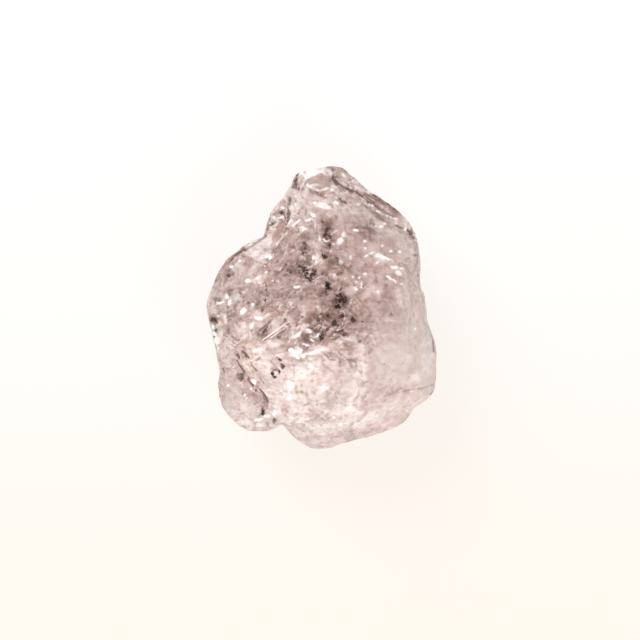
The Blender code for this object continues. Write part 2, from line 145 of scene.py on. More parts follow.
COOL_SPOTS = [
    # column, row, length, width, turn in degrees, how grey the milk is
    (257, 248, 18, 12, -38, 1.0), (293, 206, 9, 13, 10, 0.8), (222, 292, 14, 8, -20, 0.55),
    (250, 276, 13, 9, -30, 0.5), (428, 335, 8, 40, 0, 0.6), (268, 428, 14, 8, 0, 0.6),
    (297, 353, 9, 6, 0, 0.8), (396, 350, 36, 56, 0, 0.35), (218, 345, 6, 18, 0, 0.6),
    (340, 424, 70, 13, -8, 0.35),
]
PEACH_SPOTS = [
    # column, row, length, width, turn in degrees, strength
    (252, 353, 26, 20, 35, 1.0), (270, 317, 15, 9, 0, 0.6),
]
SMOKE = [
    # column, row, length, width, turn in degrees, strength
    (306, 272, 20, 13, 35, 1.0), (340, 302, 15, 22, 25, 1.0), (328, 238, 9, 13, 0, 0.9),
    (318, 333, 14, 11, 30, 1.0), (331, 314, 24, 24, 0, 0.66), (314, 334, 13, 9, 35, 0.95),
    (345, 302, 13, 13, 0, 0.75), (322, 288, 30, 26, 35, 0.55), (284, 243, 13, 11, 0, 0.30),
    (281, 262, 13, 11, 0, 0.38), (338, 270, 9, 12, 0, 0.55), (336, 242, 9, 8, 0, 0.35),
    (330, 330, 22, 15, 0, 0.55), (364, 318, 14, 18, 0, 0.28), (345, 326, 15, 13, 20, 0.7),
    (300, 288, 50, 42, 20, 0.42), (304, 250, 12, 12, 0, 0.5), (368, 232, 11, 9, 20, 0.60),
    (361, 222, 9, 18, 0, 0.45), (292, 256, 22, 16, 30, 0.30), (249, 291, 6, 9, 10, 0.25),
    (256, 262, 12, 7, -10, 0.2), (241, 377, 6, 5, 0, 0.8), (276, 365, 9, 6, -40, 0.4),
    (258, 396, 7, 14, 30, 0.30), (377, 216, 9, 4, 38, 0.5), (318, 192, 12, 3, 15, 0.35),
    (334, 181, 5, 3, 40, 0.7), (230, 293, 6, 5, 0, 0.35), (232, 272, 8, 5, 0, 0.3),
    (287, 214, 3, 9, 10, 0.35), (327, 230, 8, 11, 0, 0.9), (368, 229, 8, 10, 0, 1.0),
    (264, 400, 6, 9, -15, 0.5), (309, 259, 5, 5, 0, 0.8), (324, 257, 4, 4, 0, 0.9),
    (276, 338, 7, 4, -30, 0.6), (386, 230, 8, 6, 0, 0.25), (255, 250, 10, 5, -25, 0.35),
    (274, 252, 16, 9, 10, 0.7), (290, 268, 14, 14, 30, 0.8), (304, 250, 10, 10, 0, 0.8),
    (332, 264, 9, 8, 0, 0.8), (296, 288, 20, 14, 30, 0.6), (320, 320, 20, 12, 10, 1.0),
    (336, 333, 20, 10, 10, 1.0), (350, 346, 16, 10, 20, 0.45), (310, 336, 14, 9, 0, 1.0),
    (360, 334, 14, 14, 0, 0.55), (386, 300, 16, 20, 0, 0.40), (388, 392, 18, 9, -8, 0.30),
    (334, 404, 14, 9, 0, 0.3), (349, 366, 12, 18, 0, 0.65), (236, 296, 9, 8, -20, 0.5),
    (288, 362, 9, 9, 0, 0.25), (208, 320, 4, 6, 0, 0.4), (396, 391.5, 15, 3.5, -3, 0.55),
    (281, 338, 7, 5, -20, 0.45), (260, 302, 14, 12, 0, 0.6), (262, 334, 9, 6, 20, 0.85),
    (334, 320, 10, 8, 0, 0.8), (290, 286, 12, 8, 0, 0.5), (364, 350, 16, 8, 0, 0.4),
    (346, 380, 9, 12, 0, 0.5), (337, 398, 13, 13, 0, 0.6), (298, 360, 14, 8, 0, 0.4),
    (338, 331, 9, 8, 0, 0.9), (315, 334, 8, 9, 20, 1.0), (304, 251, 8, 9, 0, 1.0),
    (306, 347, 9, 5, 0, 0.6), (330, 336, 18, 7, 0, 1.0), (332, 404, 9, 8, 0, 0.5),
    (234, 318, 7, 7, 0, 0.35),
]
INK_SPREAD = 1.25                  # how much larger the dark spots are than their solid middles
STAIN_SPREAD = 1.9                 # and the brown stain round each, past a margin of one pixel
STAIN_MARGIN = 1
INK_SPOTS = [
    # column, row, length, width, turn in degrees, darkness
    (327, 230, 2.0, 3.6, 0, 1.0), (325, 235, 2.4, 1.8, 0, 1.0), (330, 236, 1.6, 1.6, 0, 0.9),
    (323, 223, 1.4, 1.8, 0, 0.6), (330, 245, 1.5, 3.4, 0, 0.7), (304.5, 237, 1.4, 1.6, 0, 0.7),
    (305, 244, 1.5, 2.4, 0, 0.9), (306, 249, 1.8, 1.4, 0, 0.9), (304, 254, 1.7, 1.7, 0, 0.9),
    (301, 267, 3.0, 1.6, 20, 0.9), (304, 270, 2.4, 1.9, 30, 1.0), (308, 278.5, 3.8, 1.8, 35, 1.0),
    (293, 268, 2.6, 1.5, 10, 0.6), (313.5, 274, 2.4, 1.8, -30, 1.0), (315, 271, 2.2, 1.6, 0, 0.9),
    (325, 257, 3.0, 2.0, 20, 0.8), (327, 284, 1.7, 2.4, 0, 1.0), (329, 288, 3.0, 2.0, 20, 1.0),
    (322, 293, 2.4, 2.0, 0, 0.9), (326, 292, 1.7, 1.7, 0, 0.9), (341, 297, 3.2, 2.2, 20, 1.0),
    (336, 300, 1.7, 3.0, 20, 0.9), (345, 300, 2.2, 3.2, 0, 1.0), (338, 307.5, 3.0, 1.7, 15, 1.0),
    (343, 305, 1.8, 2.4, 0, 0.8), (333, 303, 1.6, 2.2, 0, 0.8), (329, 315, 2.4, 2.2, 0, 0.8),
    (342, 316, 3.0, 2.0, 25, 0.9), (334, 323, 2.3, 3.2, -15, 1.0), (353, 319, 2.0, 3.6, -15, 1.0),
    (337, 332, 4.6, 1.4, 5, 0.8), (322, 337, 2.2, 4.6, 15, 1.0), (315, 331, 3.6, 1.4, 42, 0.7),
    (363, 321, 2.2, 2.0, 0, 0.35), (272.6, 373, 1.5, 2.2, 0, 1.0), (275, 376.6, 2.2, 1.1, 0, 1.0),
    (279, 372, 1.2, 2.2, 0, 1.0), (275.6, 370.2, 1.8, 1.0, 0, 0.8), (368, 315, 1.8, 1.6, 0, 0.35),
    (391, 313, 1.3, 2.0, -30, 0.5), (281, 360, 2.2, 1.1, 20, 0.8), (282, 366, 1.7, 1.9, 0, 0.8),
    (214, 320, 3.2, 3.2, 0, 1.0), (216, 331, 1.3, 2.0, 0, 0.7), (213, 336, 1.3, 2.2, 0, 0.7),
    (240.5, 377.5, 2.8, 3.4, 10, 0.55), (265, 398, 2.0, 3.4, -15, 0.5), (263, 412, 1.7, 3.4, 0, 0.9),
    (274, 421, 2.2, 2.4, 0, 0.75), (293.5, 186.5, 0.8, 1.4, 10, 0.8), (282, 213, 2.8, 1.3, -40, 0.9),
    (272, 224, 3.4, 1.3, -40, 0.9), (411, 233, 1.2, 2.6, -32, 0.7), (229, 277, 1.6, 1.8, 0, 0.9),
    (334, 180.5, 3.2, 1.8, 30, 0.6), (264, 331, 3.0, 1.4, -45, 0.9), (280, 337, 3.0, 2.2, 0, 0.5),
    (283, 332, 3.4, 1.6, -40, 0.4), (304.5, 246, 3.6, 8.0, 0, 0.40), (309, 259, 4.4, 4.4, 0, 0.45),
    (292, 268, 6.0, 3.6, 20, 0.42), (332, 262, 4.0, 5.0, 0, 0.36), (333, 316, 9.0, 6.0, 0, 0.45),
    (306, 340, 8.0, 4.0, 0, 0.42), (318, 334, 4.0, 5.0, 20, 0.42), (306, 238, 7.0, 5.0, 0, 0.36),
    (327, 224, 6.0, 5.0, 10, 0.36), (341, 300, 8.0, 9.0, 0, 0.42), (266, 259, 2.2, 1.7, 0, 0.6),
    (299, 231, 2.0, 1.0, -15, 0.6), (341, 274, 3.2, 2.0, 0, 0.5), (288, 230, 2.6, 1.2, 10, 0.3),
    (336, 259, 2.2, 1.6, 0, 0.5), (231, 292, 3.4, 2.4, 0, 0.45), (231, 273, 4.6, 4.0, 0, 0.40),
    (248, 293, 5.0, 7.5, 15, 0.15), (216, 300, 3.2, 3.4, 0, 0.4),
]
GLINT_SPREAD = 0.82                # reach of a painted white glint's oval for each pixel of its size
# White flecks: painted glints of the small cracks inside the stone.
GLINT_FLECKS = [
    # column, row, length, width, turn in degrees
    (344.5, 234.5, 5.2, 4.2, -55), (340, 241, 6.2, 4.2, -62), (334, 244, 1.6, 1.6, 0),
    (366, 256, 3.6, 1.8, -25), (372, 253, 5.0, 1.6, -25), (378, 256, 4.4, 2.2, 15),
    (383, 258, 4.6, 2.6, 20), (388, 259.5, 3.0, 2.2, 30), (377, 263, 3.4, 1.6, -30),
    (394, 268, 6.0, 3.0, 8), (401, 269, 4.5, 1.8, 5), (398, 274, 5.0, 3.6, 25), (389, 278, 6.0, 2.0, 35),
    (394, 281, 3.4, 1.6, 45), (365, 274, 3.0, 1.6, 20), (359, 278, 3.6, 2.0, -35),
    (362, 286, 5.0, 1.6, 50), (356, 289, 2.6, 2.0, 0), (378, 292, 2.8, 1.6, 0), (401, 284, 2.6, 1.6, 0),
    (314, 258, 2.0, 3.6, 0), (317, 262, 2.0, 2.0, 0), (297, 287, 5.5, 2.2, 0), (296, 204, 3.6, 3.4, 0),
    (313, 215, 4.6, 2.2, 25), (309, 220, 5.5, 2.2, -10), (303, 229, 5.5, 2.4, -15),
    (298, 222, 5.5, 1.8, -40), (356, 230, 4.4, 2.2, 10), (365, 241, 2.8, 1.8, 20),
    (365, 248, 2.0, 2.0, 0), (391, 251, 2.4, 2.0, 0), (400, 252, 2.4, 1.6, 0), (382, 246, 2.0, 1.6, 0),
    (281, 217, 3.6, 1.8, -30), (274, 217, 2.4, 1.4, 70), (283, 208, 2.2, 1.6, 0),
    (220, 303, 7.0, 1.8, -12), (230, 303, 2.2, 4.6, 10), (228, 297, 2.0, 3.2, 0),
    (244, 312, 3.0, 7.0, 30), (253, 305, 3.0, 3.0, 0), (258, 318, 6.0, 2.6, 20), (252, 325, 2.2, 5.0, 20),
    (232, 267, 2.4, 2.0, 0), (240, 261, 2.6, 1.6, 30), (248, 281, 3.6, 2.6, -30), (268, 256, 4.0, 3.0, 0),
    (266, 273, 2.6, 2.4, 0), (297, 335, 8.5, 2.6, -35), (291, 350, 3.6, 2.8, 20),
    (295.5, 354, 4.0, 3.2, 0), (300, 351.5, 3.2, 2.8, 0), (303, 356, 3.6, 2.6, 0),
    (298, 358, 3.0, 2.0, 0), (309, 331, 5.0, 2.2, 35), (318.5, 335, 5.6, 2.2, -50),
    (312, 341, 4.4, 2.0, 42), (305, 345, 7.0, 1.6, 15), (214, 334, 4.0, 3.0, 0),
    (216, 341, 2.6, 5.0, -20), (218, 349, 2.2, 5.0, -15), (213, 327, 2.4, 3.0, 0),
    (253.8, 381.8, 4.6, 2.7, 45), (229, 385, 2.8, 2.2, 0), (251.4, 388.4, 1.8, 1.5, 0),
    (258.5, 419.5, 7.5, 2.2, -15), (267, 416, 5.0, 2.6, 0), (274, 413, 3.0, 2.4, 0),
    (323, 388, 4.0, 1.4, 0), (289.5, 384, 2.4, 4.2, 0), (289, 398.5, 2.6, 2.4, 0),
    (333.5, 417, 1.6, 2.6, 30), (346.5, 192.5, 2.8, 2.6, 0), (332, 190, 3.0, 2.4, 0),
    (358, 205, 2.4, 2.2, 0), (369, 205, 2.6, 2.4, 0), (372.5, 206, 2.4, 2.2, 0),
    (335.5, 203.5, 4.5, 3.2, 0), (315, 203, 2.6, 2.4, 0), (336, 198, 2.4, 2.0, 0),
    (381, 227, 3.4, 1.8, 0), (384, 224.5, 2.2, 1.6, 0), (405.5, 229, 2.2, 2.8, 0),
    (376, 226, 1.6, 1.4, 0), (312, 171, 4.0, 2.0, 0), (341, 262, 3.8, 3.0, 40), (351, 257, 2.4, 3.4, 0),
    (320, 238, 2.0, 5.0, 0), (415, 329, 2.0, 2.6, 0), (259.5, 353, 1.8, 1.5, 0),
    (246.8, 367, 1.6, 1.9, 0), (244.8, 394.7, 1.8, 1.6, 0),
]
# Dark lines: some are real cracks, the others painted shade in creases, on the shadow sides of flutes and
# under the needles.
CRACK_AND_SHADE_LINES = [
    # points, half width, darkness
    ([(332, 179), (338, 184), (346, 188), (354, 192), (362, 197), (370, 204)], 1.1, 0.85),
    ([(364, 205), (371, 211), (378, 218), (384, 220), (391, 223), (404, 229)], 0.9, 0.65),
    ([(333, 169), (334, 174), (333, 178)], 0.9, 0.9),
    ([(298, 175), (295, 180), (293.5, 186), (296, 189), (298, 192)], 0.8, 1.0),
    ([(299, 173), (303, 171.5), (309, 172.5), (316, 169.5), (324, 167.5), (334, 166.5),
      (341, 168)], 0.6, 0.35),
    ([(305, 174), (306.5, 178), (305, 184)], 0.6, 0.6),
    ([(289, 199), (289.5, 207), (289, 215), (286, 225)], 1.0, 0.9),
    ([(373, 194), (384, 200), (396, 210), (401, 217)], 0.8, 0.6),
    ([(339, 171), (342, 177), (347, 181)], 0.9, 0.4), ([(341, 198.5), (346, 203)], 1.2, 0.85),
    ([(303, 189), (310, 192), (316, 195), (324, 196)], 1.1, 0.55),
    ([(368, 200), (376, 206), (384, 211), (395, 217)], 0.9, 0.5),
    ([(348, 186), (358, 193), (366, 197), (374, 203)], 0.8, 0.5),
    ([(266, 236), (262, 239), (255, 243), (247, 249), (243, 251), (238, 254), (232, 258),
      (228, 262)], 1.1, 0.9),
    ([(228, 262), (222, 268), (218, 277), (214, 288), (211, 297), (209, 306)], 0.7, 0.35),
    ([(232.5, 350.5), (235.5, 354.5), (238.3, 358.8)], 1.4, 1.0),
    ([(238.5, 343.8), (241, 346), (244.5, 348)], 1.2, 0.55),
    ([(242.5, 351.6), (245.2, 353.8), (247.3, 358)], 1.8, 1.0),
    ([(247.3, 358), (251, 364.7), (255.6, 371.3)], 0.7, 0.75),
    ([(251.8, 362.2), (256.8, 360.5), (259, 358)], 1.2, 0.6),
    ([(236, 361.3), (240.2, 368), (243.5, 372.6)], 0.9, 0.8),
    ([(237.5, 375.5), (244.5, 375.5), (240.5, 381)], 1.2, 0.7),
    ([(246.8, 377.2), (249.3, 381.3), (252.7, 385.5), (256, 391)], 1.1, 0.9),
    ([(259, 378.4), (261, 381), (263.5, 383.8)], 0.8, 0.6),
    ([(260.2, 389.7), (263.5, 393), (266, 397), (267, 402)], 1.3, 0.85),
    ([(224.3, 368), (225.6, 371.3)], 1.0, 0.7), ([(219, 358), (221.8, 364.7)], 0.9, 0.6),
    ([(266, 330.5), (262.7, 338), (259.3, 340.5)], 1.5, 0.75), ([(236, 323), (240.2, 327.2)], 0.9, 0.5),
    ([(260, 414), (263, 408), (264, 401)], 0.9, 0.45), ([(231, 307), (238, 297), (246, 287)], 0.8, 0.30),
    ([(291, 268), (303, 283), (316, 294), (322, 300)], 0.7, 0.45),
    ([(434, 384), (426, 387), (417, 389), (402, 391)], 1.0, 0.45),
    ([(408, 229), (411, 232), (414, 238)], 1.3, 0.95),
    ([(421, 290), (428, 312), (433, 340), (434, 352)], 0.7, 0.6),
    ([(436, 378), (435, 388), (431, 394)], 1.0, 0.7), ([(292, 368), (294, 373), (293, 379)], 0.7, 0.45),
    ([(303, 352), (300, 360), (303, 364)], 0.7, 0.35), ([(263, 341), (275, 332), (283, 326)], 0.7, 0.4),
    ([(257, 333), (263, 327), (269, 322)], 1.0, 0.7), ([(273, 339), (280, 334), (286, 330)], 1.2, 0.35),
    ([(246, 350), (241, 346), (238, 340)], 0.9, 0.5),
    ([(331, 326), (335, 330), (340, 334), (347, 334)], 1.2, 0.55),
    ([(341, 324), (344, 330), (347, 334)], 0.8, 0.45), ([(322, 326), (317, 332), (308, 343)], 0.8, 0.35),
    ([(316, 329), (320, 332), (322, 336), (320, 341)], 1.3, 0.95),
    ([(333, 334), (338, 327), (343, 333), (334, 334)], 0.9, 0.5),
]
# Bright edges: painted highlights along ridges, rims and shoulders.
EDGE_HIGHLIGHTS = [
    # points, half width, strength
    ([(308, 185.5), (313, 188.5), (318, 190.5)], 1.0, 1.0),
    ([(319, 190.5), (325, 189), (331, 187.5)], 0.8, 0.8), ([(331, 186.5), (338, 187)], 1.8, 0.9),
    ([(304.5, 175), (306, 178), (305, 182), (300, 188)], 0.9, 0.9),
    ([(298, 176), (302, 173.5), (304.5, 175)], 0.8, 0.8), ([(299, 221), (292, 226)], 1.1, 0.9),
    ([(290, 228), (283, 235), (276, 245)], 0.9, 0.55), ([(331, 210), (326, 215), (324, 220)], 1.0, 0.35),
    ([(320, 205), (325, 207), (331, 210)], 1.5, 0.95), ([(377, 211), (385, 215), (398, 219)], 1.0, 0.8),
    ([(341, 172), (350, 180), (357, 185)], 0.9, 0.35), ([(361, 199), (364, 202), (366, 205)], 1.0, 0.8),
    ([(370, 198), (380, 205), (391, 213)], 0.9, 0.45), ([(336, 179), (343, 184), (351, 189)], 0.9, 0.6),
    ([(352, 194), (357, 198), (362, 202)], 0.9, 0.6), ([(355, 187), (360, 190)], 1.9, 1.0),
    ([(363, 190.5), (367, 192), (373, 193)], 1.5, 1.0),
    ([(303, 355), (312, 354), (319, 351.5), (328, 349.5)], 1.0, 0.75),
    ([(233, 351), (228, 345), (224, 340)], 0.8, 0.4), ([(252, 353), (256, 350), (261, 349)], 2.4, 0.5),
    ([(243.5, 364), (246, 368), (249.3, 370)], 2.0, 0.4),
    ([(236, 343), (242, 339), (250, 334)], 1.8, 0.45), ([(256, 424), (264, 425), (272, 424)], 2.0, 0.4),
    ([(312, 168), (318, 167), (326, 166.5)], 1.6, 0.7), ([(246, 286), (254, 279), (259, 275)], 1.3, 0.6),
    ([(246, 287), (238, 298), (232, 306)], 0.8, 0.4),
    ([(352, 334), (362, 333), (374, 336), (384, 335)], 0.9, 0.3),
    ([(380, 322), (390, 320), (400, 322)], 0.9, 0.3), ([(324, 239), (327, 241.5), (330, 240)], 0.9, 0.8),
    ([(331, 235), (334, 232.5), (337, 231)], 0.8, 0.6),
    ([(308, 267.5), (312, 266.5), (316, 264)], 0.9, 0.5),
    ([(349, 297), (356, 303), (360, 310)], 1.2, 0.25),
]
EDGE_WANDER = 3.5                  # pixels that the edge of a soft place wanders, and mm of its waves
EDGE_WAVE = 1.1
BLOT_WANDER = 1.6                  # the same of a dark spot
BLOT_WAVE = 0.35
BODY_MILK = 0.46                   # how milky the pale body is, and how far that varies over it
BODY_MILK_WAVE = 0.10
BODY_HEART = (284, 380, 56, 46, 20)    # column, row, length, width and turn of its milkier heart
HEART_MILK = 0.20
MILKY_FACES = [
    # outline, how milky, softness of its edge in pixels
    (KNOB_CREST, 0.85, 1.2), (KNOB_CHIP, 0.5, 1.2), (EAST_FACE, 0.35, 3),
]
WAIST_MILK = 0.65
RIDGE_MILK = 0.52
RIDGE_EDGE = (3, 13)               # pixels from the ridge's crest where its milk begins and has gone
KNOB_CLEARING = 0.8                # share of the milk that the knob's clear face lacks
BARE_CLEARING = 0.9                # share of the smoke that a bare spot lacks, and how milky it is
BARE_MILK = 0.5
WAIST_FROST = 0.28                 # how white the waist's face and the knob's crest are frosted
CREST_FROST = 0.4
STAIN_STRENGTH = 0.95
STAIN_CLEARING = 0.85              # share of a stain that the milk of the pale body hides
FLANK_CALM = 0.4                   # how even, and at most how milky and smoky, the unseen sides are
FLANK_MILK = 0.55
FLANK_SMOKE = 0.35
RIM_SHADE = 0.6                     # strength of the thin line of painted shade and of the pale one of painted highlight at the outline
RIM_HIGHLIGHT = 0.55
CHIP_SIZE = 1.8                    # mm across a chip of the broken skin, and its slope
CHIP_SLOPE = 0.19
GRAIN_SIZE = 1.6                   # mm across a grain of the pale body, and its slope
GRAIN_SLOPE = 0.05
SKIN_RIPPLE = 0.04                 # mm of fine unevenness over the chips, then over the grains
GRAIN_RIPPLE = 0.05
UNDERSIDE_CHIPS = 0.9              # share of the chips' height that the underside has
FLANK_WAVE = 0.10                  # mm
CREASE_DEPTH = 0.10                # mm
EDGE_HEIGHT = 0.04                 # mm


def merged_copy(node):
    """A joined-up copy of a solid of the frame, in millimetres."""
    shape = bmesh.new()
    shape.from_mesh(node.data)
    bmesh.ops.remove_doubles(shape, verts=shape.verts, dist=1e-7)
    bmesh.ops.scale(shape, verts=shape.verts, vec=(1 / METRES_PER_MM,) * 3)
    mesh = bpy.data.meshes.new("morganite_stone")
    shape.to_mesh(mesh)
    shape.free()
    return mesh


def settle(stone):
    """Turns the stone's modifiers into its own mesh."""
    graph = bpy.context.evaluated_depsgraph_get()
    mesh = bpy.data.meshes.new_from_object(stone.evaluated_get(graph))
    mesh.name = "morganite_stone"
    stone.modifiers.clear()
    stone.data = mesh


def points_of(mesh):
    flat = np.empty(len(mesh.vertices) * 3)
    mesh.vertices.foreach_get("co", flat)
    return flat.reshape(-1, 3)


def normals_of(mesh):
    flat = np.empty(len(mesh.vertices) * 3)
    mesh.vertex_normals.foreach_get("vector", flat)
    return flat.reshape(-1, 3)


def placed(name, data):
    """A new object of the scene with this mesh, lamp or lens."""
    made = bpy.data.objects.new(name, data)
    bpy.context.scene.collection.objects.link(made)
    return made


def fine_skin(mesh):
    """The same stone with even small faces, larger ones where it looks down, as an object."""
    stone = placed("morganite_stone", mesh)
    fine = stone.modifiers.new("fine skin", "REMESH")
    fine.mode = "VOXEL"
    fine.voxel_size = FINE_STEP
    settle(stone)
    looks_down = np.flatnonzero(normals_of(stone.data)[:, 2] < UNDERSIDE)
    stone.vertex_groups.new(name="underside").add(looks_down.tolist(), 1.0, "REPLACE")
    coarse = stone.modifiers.new("coarser underside", "DECIMATE")
    coarse.ratio = SKIN_QUADS / len(stone.data.polygons)
    coarse.vertex_group = "underside"
    settle(stone)
    stone.vertex_groups.clear()
    return stone


def seen_at(points):
    """The pixel of the photograph in which the camera sees each point."""
    level = np.column_stack([points[:, 0], -points[:, 1]]) / MM_PER_PIXEL + np.array(PIXEL_OVER_MIDDLE)
    nearness = EYE_HEIGHT / (EYE_HEIGHT + GIRTH_HEIGHT - points[:, 2])
    return np.array(FRAME_MIDDLE) + (level - np.array(FRAME_MIDDLE)) * nearness[:, None]


def step_up(values, low, high):
    """0 below low, 1 above high, and a smooth rise between them."""
    rise = np.clip((values - low) / (high - low), 0, 1)
    return rise * rise * (3 - 2 * rise)


def ripple(points, length, seed, octaves=3):
    """A smooth uneven height from about -1 to 1, whose waves have this length."""
    shift = Vector((seed, 2.3 * seed, -1.7 * seed))
    values = [noise.fractal(Vector(p) / length + shift, 1.0, 2.0, octaves) for p in points]
    return np.array(values)


def chips(points, size, slope, seed):
    """Height of a skin of small flat breaks: at each place the lowest of the tilted planes near it."""
    shift = Vector((seed, 0.7 * seed, -seed))
    heights = np.empty(len(points))
    for number, point in enumerate(points):
        place = Vector(point) / size + shift
        lowest = 1e9
        for middle in noise.voronoi(place, distance_metric="DISTANCE")[1]:
            lean = noise.cell_vector(middle * 7.3) * 2 - Vector((1, 1, 1))
            lowest = min(lowest, slope * (lean.dot(place - middle) + 0.25 * lean.z))
        heights[number] = lowest
    return (heights - heights.mean()) * size


def oval(plan, column, row, length, width, turn=0.0):
    """1 in the middle of a soft oval and 0 outside it."""
    cos, sin = math.cos(math.radians(turn)), math.sin(math.radians(turn))
    away = plan - np.array((column, row))
    along = (away[:, 0] * cos + away[:, 1] * sin) / length
    across = (away[:, 1] * cos - away[:, 0] * sin) / width
    return 1 - step_up(np.hypot(along, across), 0.35, 1.25)


def to_line(plan, ends):
    """Distance of each point from a line through these places."""
    nearest = np.full(len(plan), 1e9)
    for start, end in zip(ends, ends[1:]):
        start, end = np.array(start, float), np.array(end, float)
        run = end - start
        along = np.clip((plan - start) @ run / (run @ run), 0, 1)
        nearest = np.minimum(nearest, np.hypot(*(plan - start - along[:, None] * run).T))
    return nearest


def drawn(plan, ends, half_width):
    """1 on a line through these places and 0 beside it."""
    return 1 - step_up(to_line(plan, ends), 0.5 * half_width, 0.5 * half_width + 1.2)


def patch(plan, corners, soft=1.5):
    """1 inside an outline and 0 outside it, with an edge this soft."""
    inside = np.zeros(len(plan), bool)
    x, y = plan.T
    for (x0, y0), (x1, y1) in zip(corners, corners[1:] + corners[:1]):
        crosses = (y0 > y) != (y1 > y)
        inside ^= crosses & (x < (x1 - x0) * (y - y0) / (y1 - y0 + 1e-9) + x0)
    away = to_line(plan, corners + corners[:1])
    return step_up(np.where(inside, away, -away), -soft, soft)


def strongest(shape, plan, marks):
    """At each point the strongest of these marks, whose last value is a strength and the rest a shape."""
    most = np.zeros(len(plan))
    for *sizes, strength in marks:
        most = np.maximum(most, strength * shape(plan, *sizes))
    return most


def worn(mesh, points, amount, passes):
    """The points after each has moved towards the middle of its neighbours, this far and this often."""
    ends = np.empty(len(mesh.edges) * 2, np.int32)
    mesh.edges.foreach_get("vertices", ends)
    first, second = ends.reshape(-1, 2).T
    around = np.bincount(ends, minlength=len(points))[:, None]
    for _ in range(passes):
        total = np.zeros_like(points)
        for axis in range(3):
            total[:, axis] = np.bincount(first, points[second, axis], len(points))
            total[:, axis] += np.bincount(second, points[first, axis], len(points))
        points = points + amount[:, None] * (total / around - points)
    return points


# The fine skin, worn smooth in places, and where each of its points is in the photograph.
stone = fine_skin(merged_copy(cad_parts["morganite_crystal"]))
skin = stone.data
place = points_of(skin)
wear = WEAR * strongest(oval, seen_at(place), WORN_SPOTS)
wear *= step_up(place[:, 2], GIRTH_HEIGHT, GIRTH_HEIGHT + 1)
skin.vertices.foreach_set("co", worn(skin, place, wear, WEAR_PASSES).ravel())
skin.update()
place = points_of(skin)
facing = normals_of(skin)
plan = seen_at(place)
ragged = np.column_stack([ripple(place, EDGE_WAVE, seed) for seed in (5.0, 8.0)])
rough_plan = plan + EDGE_WANDER * ragged
blotted = np.column_stack([ripple(place, BLOT_WAVE, seed, 2) for seed in (51.0, 54.0)])
blot_plan = plan + BLOT_WANDER * blotted
gaps = ripple(place, 0.45, 61.0, 2)
from_front = step_up(facing[:, 2], 0.0, 0.3)
top_side = step_up(facing[:, 2], 0.25, 0.6)
broken_up = 1 - (1 - step_up(facing[:, 2], 0.2, 0.5)) * (1 - step_up(gaps, -0.05, 0.2))

# Milk, smoke, evenness and the cool, peach and brown tints.
body = np.maximum(patch(rough_plan, PALE_BODY, 9), oval(plan, *LOWER_RIGHT))
milky = body * (BODY_MILK + BODY_MILK_WAVE * ragged[:, 0])
milky += body * HEART_MILK * oval(rough_plan, *BODY_HEART)
milky = np.maximum(milky, strongest(oval, rough_plan, PALE_SPOTS))
for corners, strength, soft in MILKY_FACES:
    milky = np.maximum(milky, strength * patch(plan, corners, soft))
milky = np.maximum(milky, WAIST_MILK * patch(rough_plan, WAIST_FACE, 2.5))
milky = np.maximum(milky, RIDGE_MILK * (1 - step_up(to_line(rough_plan, PALE_RIDGE), *RIDGE_EDGE)))
milky *= 1 - KNOB_CLEARING * patch(plan, KNOB_FACE, 1.2)
smoky = strongest(oval, rough_plan, SMOKE)
for sizes in BARE_SPOTS:
    bare = oval(rough_plan, *sizes)
    smoky *= 1 - BARE_CLEARING * bare
    milky = np.maximum(milky, BARE_MILK * bare)
even = strongest(oval, rough_plan, SOFT_SPOTS) * from_front + (1 - from_front) * FLANK_CALM
cool = strongest(oval, rough_plan, COOL_SPOTS) * from_front
peach = strongest(oval, rough_plan, PEACH_SPOTS) * from_front
brown = strongest(patch, plan, [(corners, 1.5, 1.0) for corners in BROWN_FACES]) * from_front

# Dark spots, each in a brown stain.
inky = np.zeros(len(place))
for column, row, length, width, turn, darkness in INK_SPOTS:
    stain = [STAIN_SPREAD * size + STAIN_MARGIN for size in (length, width)]
    stained = STAIN_STRENGTH * darkness * (1 - STAIN_CLEARING * body)
    smoky = np.maximum(smoky, stained * oval(rough_plan, column, row, *stain, turn))
    blot = [INK_SPREAD * size for size in (length, width)]
    inky = np.maximum(inky, darkness * oval(blot_plan, column, row, *blot, turn))
inky *= from_front * (0.4 + 0.6 * broken_up)
unseen = 0.5 + 0.5 * np.clip(2.2 * ripple(place, 4.0, 21.0), -1, 1)
milky = milky * from_front + (1 - from_front) * FLANK_MILK * unseen
smoky = smoky * from_front + (1 - from_front) * FLANK_SMOKE * (1 - unseen)

# Dark cracks and painted shade in creases, painted highlights on edges, white flecks as painted glints, and
# the outline's painted shade and highlight.
# The outline's thin dark line is painted shade and its thin pale line a painted highlight, both laid by how
# steeply the skin faces.
rim = facing[:, 2] + 0.05 * ragged[:, 1]
rim_shade = step_up(rim, 0.12, 0.18) * (1 - step_up(rim, 0.20, 0.28))
rim_shade *= step_up(ripple(place, 1.6, 41.0), -0.3, 0.3) * step_up(gaps, -0.4, 0.1)
rim_highlight = step_up(rim, -0.04, 0.02) * (1 - step_up(rim, 0.12, 0.20))
rim_highlight *= 0.4 + 0.6 * step_up(ripple(place, 2.4, 43.0), -0.25, 0.2)
cracks_and_shade = strongest(drawn, plan, CRACK_AND_SHADE_LINES) * (0.3 + 0.7 * step_up(gaps, -0.35, 0.05))
cracks_and_shade = np.maximum(cracks_and_shade * step_up(facing[:, 2], -0.2, 0.05), RIM_SHADE * rim_shade)
highlights_and_frost = strongest(drawn, plan, EDGE_HIGHLIGHTS) * (0.5 + 0.5 * step_up(gaps, 0.25, -0.15))
for column, row, length, width, turn in GLINT_FLECKS:
    reach = (GLINT_SPREAD * length, GLINT_SPREAD * width)
    highlights_and_frost = np.maximum(highlights_and_frost, oval(0.5 * (plan + blot_plan), column, row, *reach, turn))
highlights_and_frost = np.maximum(highlights_and_frost, WAIST_FROST * patch(rough_plan, WAIST_FACE, 2.0))
